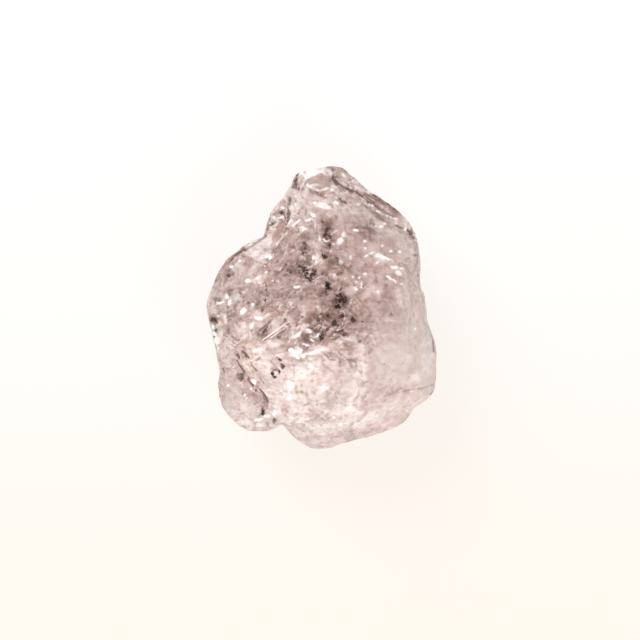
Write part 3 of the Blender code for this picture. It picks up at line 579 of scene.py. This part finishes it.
highlights_and_frost = np.maximum(highlights_and_frost, CREST_FROST * patch(blot_plan, KNOB_CREST, 1.0))
highlights_and_frost = np.maximum(highlights_and_frost * from_front * broken_up, RIM_HIGHLIGHT * rim_highlight)

# The relief: chips on the broken top and underneath, low grains on the pale body, waves on the flanks.
smooth_face = oval(plan, *SMOOTH_FACE) * from_front
granular = patch(rough_plan, PALE_BODY, 8) * oval(plan, *GRAINY_PART) * (1 - smooth_face) * top_side
broken = top_side * (1 - 0.6 * granular) * (1 - even) * (1 - patch(plan, WAIST_FACE, 2))
broken *= 1 - oval(plan, *CALM_CORNER)
flanks = (1 - top_side) * step_up(-facing[:, 2], -0.9, 0.4)
shells = chips(place, CHIP_SIZE, CHIP_SLOPE, 3.0)
relief = broken * (shells + SKIN_RIPPLE * ripple(place, 0.9, 9.0, 2))
relief += UNDERSIDE_CHIPS * step_up(-facing[:, 2], 0.38, 0.68) * shells
grains_high = GRAIN_RIPPLE * ripple(place, 0.8, 14.0, 2) + chips(place, GRAIN_SIZE, GRAIN_SLOPE, 17.0)
relief += granular * grains_high
relief += flanks * FLANK_WAVE * ripple(place, 2.2, 31.0)
relief += (EDGE_HEIGHT * highlights_and_frost - CREASE_DEPTH * cracks_and_shade) * top_side
relief *= step_up(place[:, 2], BASE_CLEARANCE, BASE_CLEARANCE + RELIEF_RISE)
place = place + facing * relief[:, None]
place = np.clip(place, np.array(cad_box[0]) / METRES_PER_MM, np.array(cad_box[1]) / METRES_PER_MM)
skin.vertices.foreach_set("co", (place * METRES_PER_MM).ravel())
skin.update()
for face in skin.polygons:
    face.use_smooth = True
masks = {"milky": milky, "smoky": smoky, "inky": inky, "cracks_and_shade": cracks_and_shade, "highlights_and_frost": highlights_and_frost}
masks.update({"brown": brown, "even": even, "cool": cool, "peach": peach})
for name, values in masks.items():
    layer = skin.attributes.new(name, "FLOAT", "POINT")
    layer.data.foreach_set("value", values)

CLEAR_PINK = (0.79, 0.60, 0.55)
MILK_WHITE = (0.965, 0.87, 0.825)
COOL_MILK = (0.82, 0.785, 0.80)
PEACH_TINT = (0.92, 0.70, 0.59)
FACE_BROWN = (0.45, 0.275, 0.23)
CLOUD_BROWN = (0.57, 0.40, 0.35)
MURK_BROWN = (0.47, 0.30, 0.25)
VEIL_CREAM = (0.95, 0.82, 0.77)
WISP_BROWN = (0.40, 0.245, 0.205)
WISP_CREAM = (0.96, 0.84, 0.79)
SHARD_BROWN = (0.44, 0.28, 0.24)
BIT_BROWN = (0.30, 0.175, 0.145)
SPARKLE_WHITE = (0.98, 0.90, 0.86)
CRACK_BROWN = (0.30, 0.18, 0.15)
SMOKE_BROWN = (0.245, 0.138, 0.113)
SPECK_BLACK = (0.075, 0.042, 0.034)
STAIN_BROWN = (0.20, 0.105, 0.085)
INK_BLACK = (0.032, 0.015, 0.012)
CRACK_AND_SHADE_BROWN = (0.16, 0.08, 0.06)
HIGHLIGHT_AND_FROST_WHITE = (0.96, 0.91, 0.885)
DEPTH_PINK = (0.82, 0.68, 0.655)   # what is left of the light in the clear depth
DEPTH_DENSITY = 44.0
BERYL_IOR = 1.58
CLEARNESS = 0.60                   # share of the light that goes through where there is no milk
GLOSS_ROUGHNESS = 0.22
SHARD_TILT = 0.36                  # how far the light is thrown about by the shards, then by the grit
GRIT_TILT = 0.14
STREAK_TURN = math.radians(42)     # turn of the streaks in the stone, which run down to the right
STREAK_SQUEEZE = 1.7               # how much narrower than long they are


def node(tree, kind, inputs=(), **settings):
    """A shader node with its settings and the values or links of its inputs."""
    made = tree.nodes.new("ShaderNode" + kind)
    for key, value in settings.items():
        setattr(made, key, value)
    for key, value in dict(inputs).items():
        if isinstance(value, bpy.types.NodeSocket):
            tree.links.new(value, made.inputs[key])
        else:
            made.inputs[key].default_value = value
    return made


def new_material(name):
    """A material with its nodes and its shader."""
    material = bpy.data.materials.new(name)
    material.use_nodes = True
    return material, material.node_tree, material.node_tree.nodes["Principled BSDF"]


def in_mm(tree):
    """The place on the piece in mm, from its own coordinates."""
    coords = node(tree, "TexCoord").outputs["Object"]
    return node(tree, "Mapping", {"Vector": coords, "Scale": (1 / METRES_PER_MM,) * 3}).outputs[0]


def masked(tree, amount, low, high, strength=1.0):
    """A value from 0 to strength as amount goes from low to high."""
    inputs = {0: amount, 1: low, 2: high, 3: 0.0, 4: strength}
    return node(tree, "MapRange", inputs, interpolation_type="SMOOTHSTEP").outputs[0]


def blended(tree, amount, under, over, how="MIX"):
    """One colour, or link to one, laid this strongly over another."""
    inputs = {0: amount}
    for key, colour in ((6, under), (7, over)):
        inputs[key] = (*colour, 1) if isinstance(colour, tuple) else colour
    return node(tree, "Mix", inputs, data_type="RGBA", blend_type=how).outputs[2]


def math_of(tree, how, first, second, clamp=False):
    return node(tree, "Math", {0: first, 1: second}, operation=how, use_clamp=clamp).outputs[0]


def times(tree, first, second):
    return math_of(tree, "MULTIPLY", first, second)


def less(tree, mask, share):
    """1 where the mask is 0, down by this share where it is 1."""
    return math_of(tree, "SUBTRACT", 1.0, times(tree, mask, share))


def soft_noise(tree, where, scale, detail, roughness):
    inputs = {"Vector": where, "Scale": scale, "Detail": detail, "Roughness": roughness}
    return node(tree, "TexNoise", inputs).outputs["Fac"]


def stone_patterns(tree):
    """The patterns that the stone's colour and glitter are made of, by name."""
    mm = in_mm(tree)
    bend = node(tree, "TexNoise", {"Vector": mm, "Scale": 1.3, "Detail": 3.0}).outputs["Color"]
    bent = blended(tree, 0.25, mm, bend, "LINEAR_LIGHT")
    turned = {"Vector": bent, "Rotation": (0, 0, STREAK_TURN), "Scale": (1.0, STREAK_SQUEEZE, 1.0)}
    streaked = node(tree, "Mapping", turned).outputs[0]
    shards = node(tree, "TexVoronoi", {"Vector": streaked, "Scale": 1.0}).outputs["Color"]
    grit = node(tree, "TexVoronoi", {"Vector": bent, "Scale": 2.6}).outputs
    cracks = node(tree, "TexVoronoi", {"Vector": streaked, "Scale": 1.5}, feature="DISTANCE_TO_EDGE")
    return {
        "clouds": soft_noise(tree, mm, 0.7, 4.0, 0.6),
        "mottle": soft_noise(tree, streaked, 0.9, 5.0, 0.6),
        "blotch": soft_noise(tree, streaked, 1.5, 2.5, 0.5),
        "wisps": soft_noise(tree, streaked, 2.2, 3.5, 0.5),
        "shards": shards,
        "shard": node(tree, "SeparateXYZ", {0: shards}).outputs,
        "grit": grit["Color"],
        "bit": node(tree, "SeparateXYZ", {0: grit["Color"]}).outputs,
        "dot": masked(tree, grit["Distance"], 0.62, 0.22),
        "crack": masked(tree, cracks.outputs["Distance"], 0.08, 0.02, 0.35),
    }


def stone_colour(tree, mask, pattern, milk):
    """Clear pink under milk, tints, murk, fine bits with painted sparkle, smoke, ink, dark cracks with
    painted shade, and painted highlights with frost, one over the other.
    """
    clouds, mottle, blotch, wisps = (pattern[name] for name in ("clouds", "mottle", "blotch", "wisps"))
    shard, bit, dot, crack = (pattern[name] for name in ("shard", "bit", "dot", "crack"))
    opaque = less(tree, mask["milky"], 0.42)
    rather_calm = times(tree, opaque, less(tree, mask["even"], 0.5))
    lively = times(tree, opaque, less(tree, mask["even"], 0.85))
    tints = [
        # how much, and the colour
        (times(tree, mask["cool"], 0.7), COOL_MILK),
        (times(tree, mask["peach"], 0.35), PEACH_TINT),
        (times(tree, mask["brown"], 0.7), FACE_BROWN),
        (masked(tree, clouds, 0.48, 0.66, 0.30), CLOUD_BROWN),
        (times(tree, masked(tree, blotch, 0.50, 0.62, 0.60), rather_calm), MURK_BROWN),
        (times(tree, masked(tree, blotch, 0.45, 0.33, 0.50), rather_calm), VEIL_CREAM),
    ]
    fine_bits = [
        (masked(tree, wisps, 0.54, 0.66, 0.45), WISP_BROWN),
        (masked(tree, wisps, 0.43, 0.33, 0.45), WISP_CREAM),
        (masked(tree, shard[0], 0.60, 0.80, 0.26), SHARD_BROWN),
        (masked(tree, shard[1], 0.74, 0.87, 0.34), VEIL_CREAM),
        (times(tree, dot, masked(tree, bit[0], 0.72, 0.80, 0.70)), BIT_BROWN),
        # tiny white bits of the grit: painted sparkle, glints of light
        (times(tree, dot, masked(tree, bit[1], 0.89, 0.94, 0.80)), SPARKLE_WHITE),
        (times(tree, crack, masked(tree, mottle, 0.45, 0.55)), CRACK_BROWN),
    ]
    smoke = times(tree, mask["smoky"], masked(tree, wisps, 0.30, 0.62, 0.85))
    smoke = math_of(tree, "ADD", smoke, times(tree, mask["smoky"], 0.25), clamp=True)
    specks = times(tree, times(tree, mask["smoky"], 1.4), dot)
    specks = math_of(tree, "MULTIPLY", masked(tree, bit[2], 0.80, 0.86, 0.95), specks, clamp=True)
    wispy_ink = times(tree, mask["inky"], masked(tree, wisps, 0.4, 0.6, 0.5))
    ink = math_of(tree, "ADD", mask["inky"], wispy_ink)
    marks = [
        (smoke, SMOKE_BROWN),
        (specks, SPECK_BLACK),
        (masked(tree, ink, 0.10, 0.60, 0.72), STAIN_BROWN),
        (masked(tree, ink, 0.50, 0.95, 0.98), INK_BLACK),
        (masked(tree, mask["cracks_and_shade"], 0.08, 0.80, 0.88), CRACK_AND_SHADE_BROWN),
        (masked(tree, mask["highlights_and_frost"], 0.08, 0.85, 0.95), HIGHLIGHT_AND_FROST_WHITE),
    ]
    colour = blended(tree, milk, CLEAR_PINK, MILK_WHITE)
    for amount, over in tints + [(times(tree, bits, lively), over) for bits, over in fine_bits] + marks:
        colour = blended(tree, amount, colour, over)
    return colour


def vector_of(tree, how, inputs):
    return node(tree, "VectorMath", inputs, operation=how).outputs[0]


def glittering(tree, mask, pattern):
    """The facing, tilted by every shard and bit of grit where the stone is clear and rough."""
    sharp = times(tree, less(tree, mask["even"], 0.92), less(tree, mask["milky"], 0.75))
    sharp = times(tree, sharp, less(tree, mask["inky"], 0.9))
    tilted = node(tree, "NewGeometry").outputs["Normal"]
    for name, tilt in (("shards", SHARD_TILT), ("grit", GRIT_TILT)):
        lean = vector_of(tree, "SUBTRACT", {0: pattern[name], 1: (0.5, 0.5, 0.5)})
        lean = vector_of(tree, "SCALE", {0: lean, "Scale": times(tree, sharp, tilt)})
        tilted = vector_of(tree, "ADD", {0: tilted, 1: lean})
    return vector_of(tree, "NORMALIZE", {0: tilted})


def pink_beryl():
    """Clear pink glassy stone with milky, smoky and grainy places, read from the skin's own masks."""
    material, tree, shader = new_material("pink_beryl")
    mask = {name: node(tree, "Attribute", attribute_name=name).outputs["Fac"] for name in masks}
    pattern = stone_patterns(tree)
    milk = math_of(tree, "ADD", mask["milky"], masked(tree, pattern["mottle"], 0.50, 0.64, 0.25), clamp=True)
    clear = math_of(tree, "SUBTRACT", CLEARNESS, times(tree, milk, 0.40))
    clear = math_of(tree, "SUBTRACT", clear, times(tree, mask["highlights_and_frost"], 0.45), clamp=True)
    rough = math_of(tree, "ADD", GLOSS_ROUGHNESS, times(tree, mask["milky"], 0.20))
    rough = math_of(tree, "ADD", rough, times(tree, mask["inky"], 0.35))
    tree.links.new(stone_colour(tree, mask, pattern, milk), shader.inputs["Base Color"])
    tree.links.new(clear, shader.inputs["Transmission Weight"])
    tree.links.new(rough, shader.inputs["Roughness"])
    tree.links.new(glittering(tree, mask, pattern), shader.inputs["Normal"])
    shader.inputs["IOR"].default_value = BERYL_IOR
    absorb = node(tree, "VolumeAbsorption", {"Color": (*DEPTH_PINK, 1), "Density": DEPTH_DENSITY})
    tree.links.new(absorb.outputs[0], tree.nodes["Material Output"].inputs["Volume"])
    return material


skin.materials.clear()
skin.materials.append(pink_beryl())
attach(stone, "root")
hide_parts("morganite_crystal")

# Dark grains: small iron-black and brown bits of other minerals caught in the crystal. They sit in and
# just under its skin, in clusters along the smoky middle, and a few more are strewn over the stone.
DARK_CLUSTERS = [
    # middle, reach, turn in degrees, number, smallest and largest size in pixels
    ((328, 237), (3, 9), 0, 26, 0.5, 1.5), ((303, 270), (5, 4), 35, 34, 0.8, 1.8),
    ((309, 277), (6, 2.4), 40, 26, 0.8, 1.8), ((313, 272), (2.4, 3), 0, 12, 0.6, 1.5),
    ((304.5, 246), (1.6, 8), 0, 16, 0.5, 1.2), ((325, 256), (3, 2.4), 0, 12, 0.5, 1.4),
    ((328, 286), (2.4, 3), 20, 20, 0.8, 1.8), ((322, 294), (3, 3), 0, 7, 0.5, 1.1),
    ((341, 299), (4, 4.5), 0, 34, 0.8, 2.0), ((337, 307), (2.5, 2), 0, 12, 0.8, 1.8),
    ((345, 304), (6, 3), 30, 10, 0.4, 1.1), ((329, 314), (2, 3), 0, 6, 0.5, 1.1),
    ((343, 316), (3, 4), 0, 8, 0.5, 1.2), ((353, 319), (2, 3.5), -15, 9, 0.7, 1.5),
    ((334, 324), (2, 3), 20, 8, 0.7, 1.5), ((338, 331), (5, 3), 0, 10, 0.4, 0.9),
    ((360, 320), (5, 5), 0, 9, 0.4, 0.9), ((321, 336), (1.8, 4), 0, 20, 0.8, 1.7),
    ((314, 327), (5, 2), 25, 8, 0.4, 1.0), ((281, 363), (3, 4), 0, 5, 0.4, 0.9),
    ((273, 374), (1, 2.4), -30, 9, 0.6, 1.3), ((279, 371.5), (0.8, 1.6), 0, 6, 0.5, 1.1),
    ((214, 320), (2, 3), 0, 8, 0.6, 1.4), ((215, 332), (2, 5), 0, 5, 0.4, 0.8),
    ((241, 377), (2.4, 2), 0, 9, 0.6, 1.2), ((245.5, 355), (0.8, 2.4), -30, 7, 0.5, 1.1),
    ((235.5, 354.5), (0.7, 2.4), -35, 6, 0.5, 1.0), ((411.5, 233), (0.8, 3.4), -32, 8, 0.5, 1.1),
    ((264, 413), (1.5, 4), 0, 6, 0.4, 1.0), ((275, 422), (1.5, 2), 0, 3, 0.5, 1.0),
    ((294, 186), (1.2, 4), 20, 5, 0.4, 0.8), ((282, 213), (2.5, 1), -40, 4, 0.6, 1.1),
    ((272, 224), (3, 1), -40, 4, 0.6, 1.1), ((413, 235), (1, 4), -30, 5, 0.4, 0.8),
    ((229, 276), (2, 2), 0, 4, 0.4, 0.9), ((368, 229), (4, 3), 0, 6, 0.4, 0.9),
    ((266, 259), (2, 2), 0, 3, 0.4, 0.9),
]
LONE_GRAINS = [
    (391, 379), (398, 379), (397, 383), (392, 387), (384, 364), (403, 363), (369, 354), (348, 407),
    (355, 404), (409, 377), (376, 378), (362, 376), (372, 407), (388, 415), (366, 382), (417, 322),
    (331, 356), (338, 366),
]
LONE_SIZES = (0.8, 1.3)            # smallest and largest in pixels
STREWN_GRAINS = 190
STREWN_SIZES = (0.35, 0.9)         # smallest and largest in pixels
GRAIN_SEED = 11
GRAIN_GROWTH = 1.3                 # how much larger than their listed sizes the grains are
CLUSTER_SPREAD = 1.3               # and how much wider their clusters
GRAIN_SINK = 0.15                  # share of a grain's size that is under the skin
GRAIN_UNEVENNESS = (0.5, 1.4)      # how near to its middle and how far out a corner of a grain may be
GRAIN_BLACK = (0.012, 0.007, 0.006)
GRAIN_BROWN = (0.06, 0.030, 0.023)


def add_grain(shape, middle, sizes, turn, chance):
    """One small uneven lump, with these half sizes in mm."""
    scale = Matrix.Diagonal((*sizes, 1))
    where = Matrix.Translation(middle) @ turn.to_matrix().to_4x4() @ scale
    made = bmesh.ops.create_icosphere(shape, subdivisions=1, radius=1, matrix=where)
    for vert in made["verts"]:
        vert.co = middle + (vert.co - middle) * chance.uniform(*GRAIN_UNEVENNESS)


def on_girth_plane(column, row):
    """The place in mm that a pixel of the photograph shows at the height of the girth."""
    x = (column - PIXEL_OVER_MIDDLE[0]) * MM_PER_PIXEL
    y = (PIXEL_OVER_MIDDLE[1] - row) * MM_PER_PIXEL
    return Vector((x, y, GIRTH_HEIGHT))


def skin_under(column, row):
    """The place and facing of the skin that a pixel of the photograph shows."""
    target = on_girth_plane(column, row)
    eye = on_girth_plane(*FRAME_MIDDLE) + Vector((0, 0, EYE_HEIGHT))
    hit, normal, _, _ = skin_tree.ray_cast(eye, target - eye)
    if hit is None:
        hit, normal, _, _ = skin_tree.find_nearest(target)
    return hit, normal


def lying(normal, chance):
    """A random turn that leaves a flat thing lying on the skin."""
    turn = normal.to_track_quat("Z", "Y")
    turn.rotate(Matrix.Rotation(chance.uniform(0, math.tau), 3, normal))
    return turn


def finished_piece(shape, name, material):
    """The piece from its shape in mm, on the stone's body and with the given finish."""
    bmesh.ops.scale(shape, verts=shape.verts, vec=(METRES_PER_MM,) * 3)
    for vert in shape.verts:
        vert.co = [min(max(value, low), high) for value, low, high in zip(vert.co, *cad_box)]
    bmesh.ops.recalc_face_normals(shape, faces=shape.faces)
    mesh = bpy.data.meshes.new(name)
    shape.to_mesh(mesh)
    shape.free()
    mesh.materials.append(material)
    piece = placed(name, mesh)
    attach(piece, "root")
    return piece


def mottled(name, scale, detail, turning, first, second):
    """A plain material whose colour goes from one to another over a soft noise, and its shader."""
    material, tree, shader = new_material(name)
    patches = node(tree, "TexNoise", {"Vector": in_mm(tree), "Scale": scale, "Detail": detail})
    amount = masked(tree, patches.outputs["Fac"], *turning)
    tree.links.new(blended(tree, amount, first, second), shader.inputs["Base Color"])
    return material, shader


def iron_black():
    """Dark brown to black mineral, dull with a faint gloss."""
    material, shader = mottled("iron_black", 1.3, 3.0, (0.35, 0.65), GRAIN_BLACK, GRAIN_BROWN)
    shader.inputs["Roughness"].default_value = 0.6
    shader.inputs["Specular IOR Level"].default_value = 0.08
    return material


skin_tree = BVHTree.FromPolygons([Vector(p) for p in place], [tuple(face.vertices) for face in skin.polygons])
chance = random.Random(GRAIN_SEED)
grains = bmesh.new()
for middle, reach, turn, number, smallest, largest in DARK_CLUSTERS:
    cos, sin = math.cos(math.radians(turn)), math.sin(math.radians(turn))
    for _ in range(number):
        far, way = math.sqrt(chance.random()), chance.uniform(0, math.tau)
        far *= CLUSTER_SPREAD
        along, across = far * math.cos(way) * reach[0], far * math.sin(way) * reach[1]
        column = middle[0] + along * cos - across * sin
        row = middle[1] + along * sin + across * cos
        hit, normal = skin_under(column, row)
        size = 0.5 * MM_PER_PIXEL * GRAIN_GROWTH * chance.uniform(smallest, largest) * (1.15 - 0.4 * far)
        sizes = (size * chance.uniform(1.0, 1.8), size * chance.uniform(0.7, 1.1), 0.8 * size)
        add_grain(grains, hit - normal * GRAIN_SINK * size, sizes, lying(normal, chance), chance)
for column, row in LONE_GRAINS:
    hit, normal = skin_under(column, row)
    size = 0.5 * MM_PER_PIXEL * chance.uniform(*LONE_SIZES)
    add_grain(grains, hit, (size, size, 0.5 * size), lying(normal, chance), chance)
weights = (0.12 + smoky) * (1 - 0.8 * milky) * (place[:, 2] > 0.4)
weights /= weights.sum()
picked = np.random.default_rng(GRAIN_SEED).choice(len(place), STREWN_GRAINS, replace=False, p=weights)
for index in picked:
    normal = Vector(facing[index])
    size = 0.5 * MM_PER_PIXEL * chance.uniform(*STREWN_SIZES)
    sizes = (size * chance.uniform(1.0, 2.0), size, 0.6 * size)
    middle = Vector(place[index]) - normal * GRAIN_SINK * size
    add_grain(grains, middle, sizes, lying(normal, chance), chance)
finished_piece(grains, "dark_grains", iron_black())

# Pale needles: a pair of long thin hollow tubes in the beryl left of the middle, with shorter pieces of
# the same kind beside them. They grew with the crystal and lie level with its skin.
NEEDLES = [
    # ends, width in pixels
    ((260, 342), (292, 319.5), 2.1), ((263, 343), (285, 328), 1.2), ((267, 331), (272, 320), 1.4),
    ((228, 341), (236, 346), 1.6), ((236, 344), (247, 337), 1.4), ((262, 354), (270, 350), 1.2),
]
NEEDLE_RISE = 0.02                 # mm
NEEDLE_HALF_DEPTH = 0.05           # mm
TUBE_CREAM = (0.80, 0.67, 0.62)
TUBE_BROWN = (0.60, 0.43, 0.38)


def tube_cream():
    """Creamy lining of a hollow tube, with a soft gloss."""
    material, shader = mottled("tube_cream", 2.5, 4.0, (0.40, 0.62), TUBE_CREAM, TUBE_BROWN)
    shader.inputs["Roughness"].default_value = 0.3
    return material


needles = bmesh.new()
for start, end, width in NEEDLES:
    first, first_normal = skin_under(*start)
    last, last_normal = skin_under(*end)
    ahead = last - first
    up = (first_normal + last_normal).normalized()
    side = up.cross(ahead).normalized()
    up = ahead.cross(side).normalized()
    turn = Matrix((ahead.normalized(), side, up)).transposed().to_quaternion()
    highest, _ = skin_under(0.5 * (start[0] + end[0]), 0.5 * (start[1] + end[1]))
    middle = 0.5 * (first + last)
    middle.z = max(middle.z, highest.z) + NEEDLE_RISE
    sizes = Matrix.Diagonal((0.5 * ahead.length, 0.5 * MM_PER_PIXEL * width, NEEDLE_HALF_DEPTH, 1))
    where = Matrix.Translation(middle) @ turn.to_matrix().to_4x4() @ sizes
    bmesh.ops.create_icosphere(needles, subdivisions=2, radius=1, matrix=where)
finished_piece(needles, "pale_needles", tube_cream())

# The table: a wide pale board under the stone, matt, that lights up a little from within. It is there
# for the picture alone and isn't part of the stone.
TABLE_HALF = 0.8                   # metres
TABLE_DROP = 0.00002               # metres under the stone, so that the two don't share a plane
TABLE_GREY = (0.12, 0.12, 0.12)
GLOW = 0.87                        # strength of the board's own light
GLOW_TOP = (1.0, 0.98, 0.965)
GLOW_FOOT = (0.97, 0.88, 0.80)
GLOW_SPAN = (0.016, -0.024)        # metres along Y from which to which the glow grows warmer
board = bmesh.new()
bmesh.ops.create_grid(board, x_segments=1, y_segments=1, size=TABLE_HALF)
table_mesh = bpy.data.meshes.new("table")
board.to_mesh(table_mesh)
board.free()
table_mesh.transform(Matrix.Translation((0, 0, -TABLE_DROP)))
table = placed("table", table_mesh)


def pale_board():
    """Matt pale board whose own light is warmer towards the front edge."""
    material, tree, shader = new_material("pale_board")
    coords = node(tree, "TexCoord").outputs["Object"]
    across = node(tree, "SeparateXYZ", {0: coords}).outputs["Y"]
    span = {0: across, 1: GLOW_SPAN[0], 2: GLOW_SPAN[1], 3: 0.0, 4: 1.0}
    down = node(tree, "MapRange", span).outputs[0]
    tree.links.new(blended(tree, down, GLOW_TOP, GLOW_FOOT), shader.inputs["Emission Color"])
    shader.inputs["Emission Strength"].default_value = GLOW
    shader.inputs["Base Color"].default_value = (*TABLE_GREY, 1)
    shader.inputs["Roughness"].default_value = 0.9
    shader.inputs["Specular IOR Level"].default_value = 0.1
    return material


table_mesh.materials.append(pale_board())

# The studio and the camera: light from all round, a softbox high on the left behind the stone, a weaker
# one in front on the right, and a camera that looks straight down.
ROOM_WHITE = (1, 0.99, 0.98)
ROOM_LIGHT = 0.45
STONE_MIDDLE = Vector((0, 0, 0.006))
SOFTBOXES = [
    # name, place in metres, width in metres, power in watts
    ("key", Vector((-0.13, 0.15, 0.20)), 0.17, 0.72),
    ("fill", Vector((0.09, -0.20, 0.17)), 0.18, 0.62),
]
world = bpy.data.worlds.new("studio")
world.use_nodes = True
world.node_tree.nodes["Background"].inputs["Color"].default_value = (*ROOM_WHITE, 1)
world.node_tree.nodes["Background"].inputs["Strength"].default_value = ROOM_LIGHT
bpy.context.scene.world = world
for name, where, size, power in SOFTBOXES:
    light = bpy.data.lights.new(name, "AREA")
    light.size = size
    light.energy = power
    lamp = placed(name, light)
    lamp.location = where
    lamp.rotation_euler = (STONE_MIDDLE - where).to_track_quat("-Z", "Y").to_euler()

LENS = 150.0                       # mm
HALF_SENSOR = 18                   # mm
HALF_FRAME = 0.0256                # metres that the picture shows from its middle to its edge
LOOKED_AT = (-0.00018, -0.000995, 0.0059)
lens = bpy.data.cameras.new("camera")
lens.lens = LENS
lens.clip_start = 0.01
camera = placed("camera", lens)
camera.location = (LOOKED_AT[0], LOOKED_AT[1], LOOKED_AT[2] + HALF_FRAME * LENS / HALF_SENSOR)
bpy.context.scene.camera = camera
bpy.context.scene.view_settings.view_transform = "Standard"
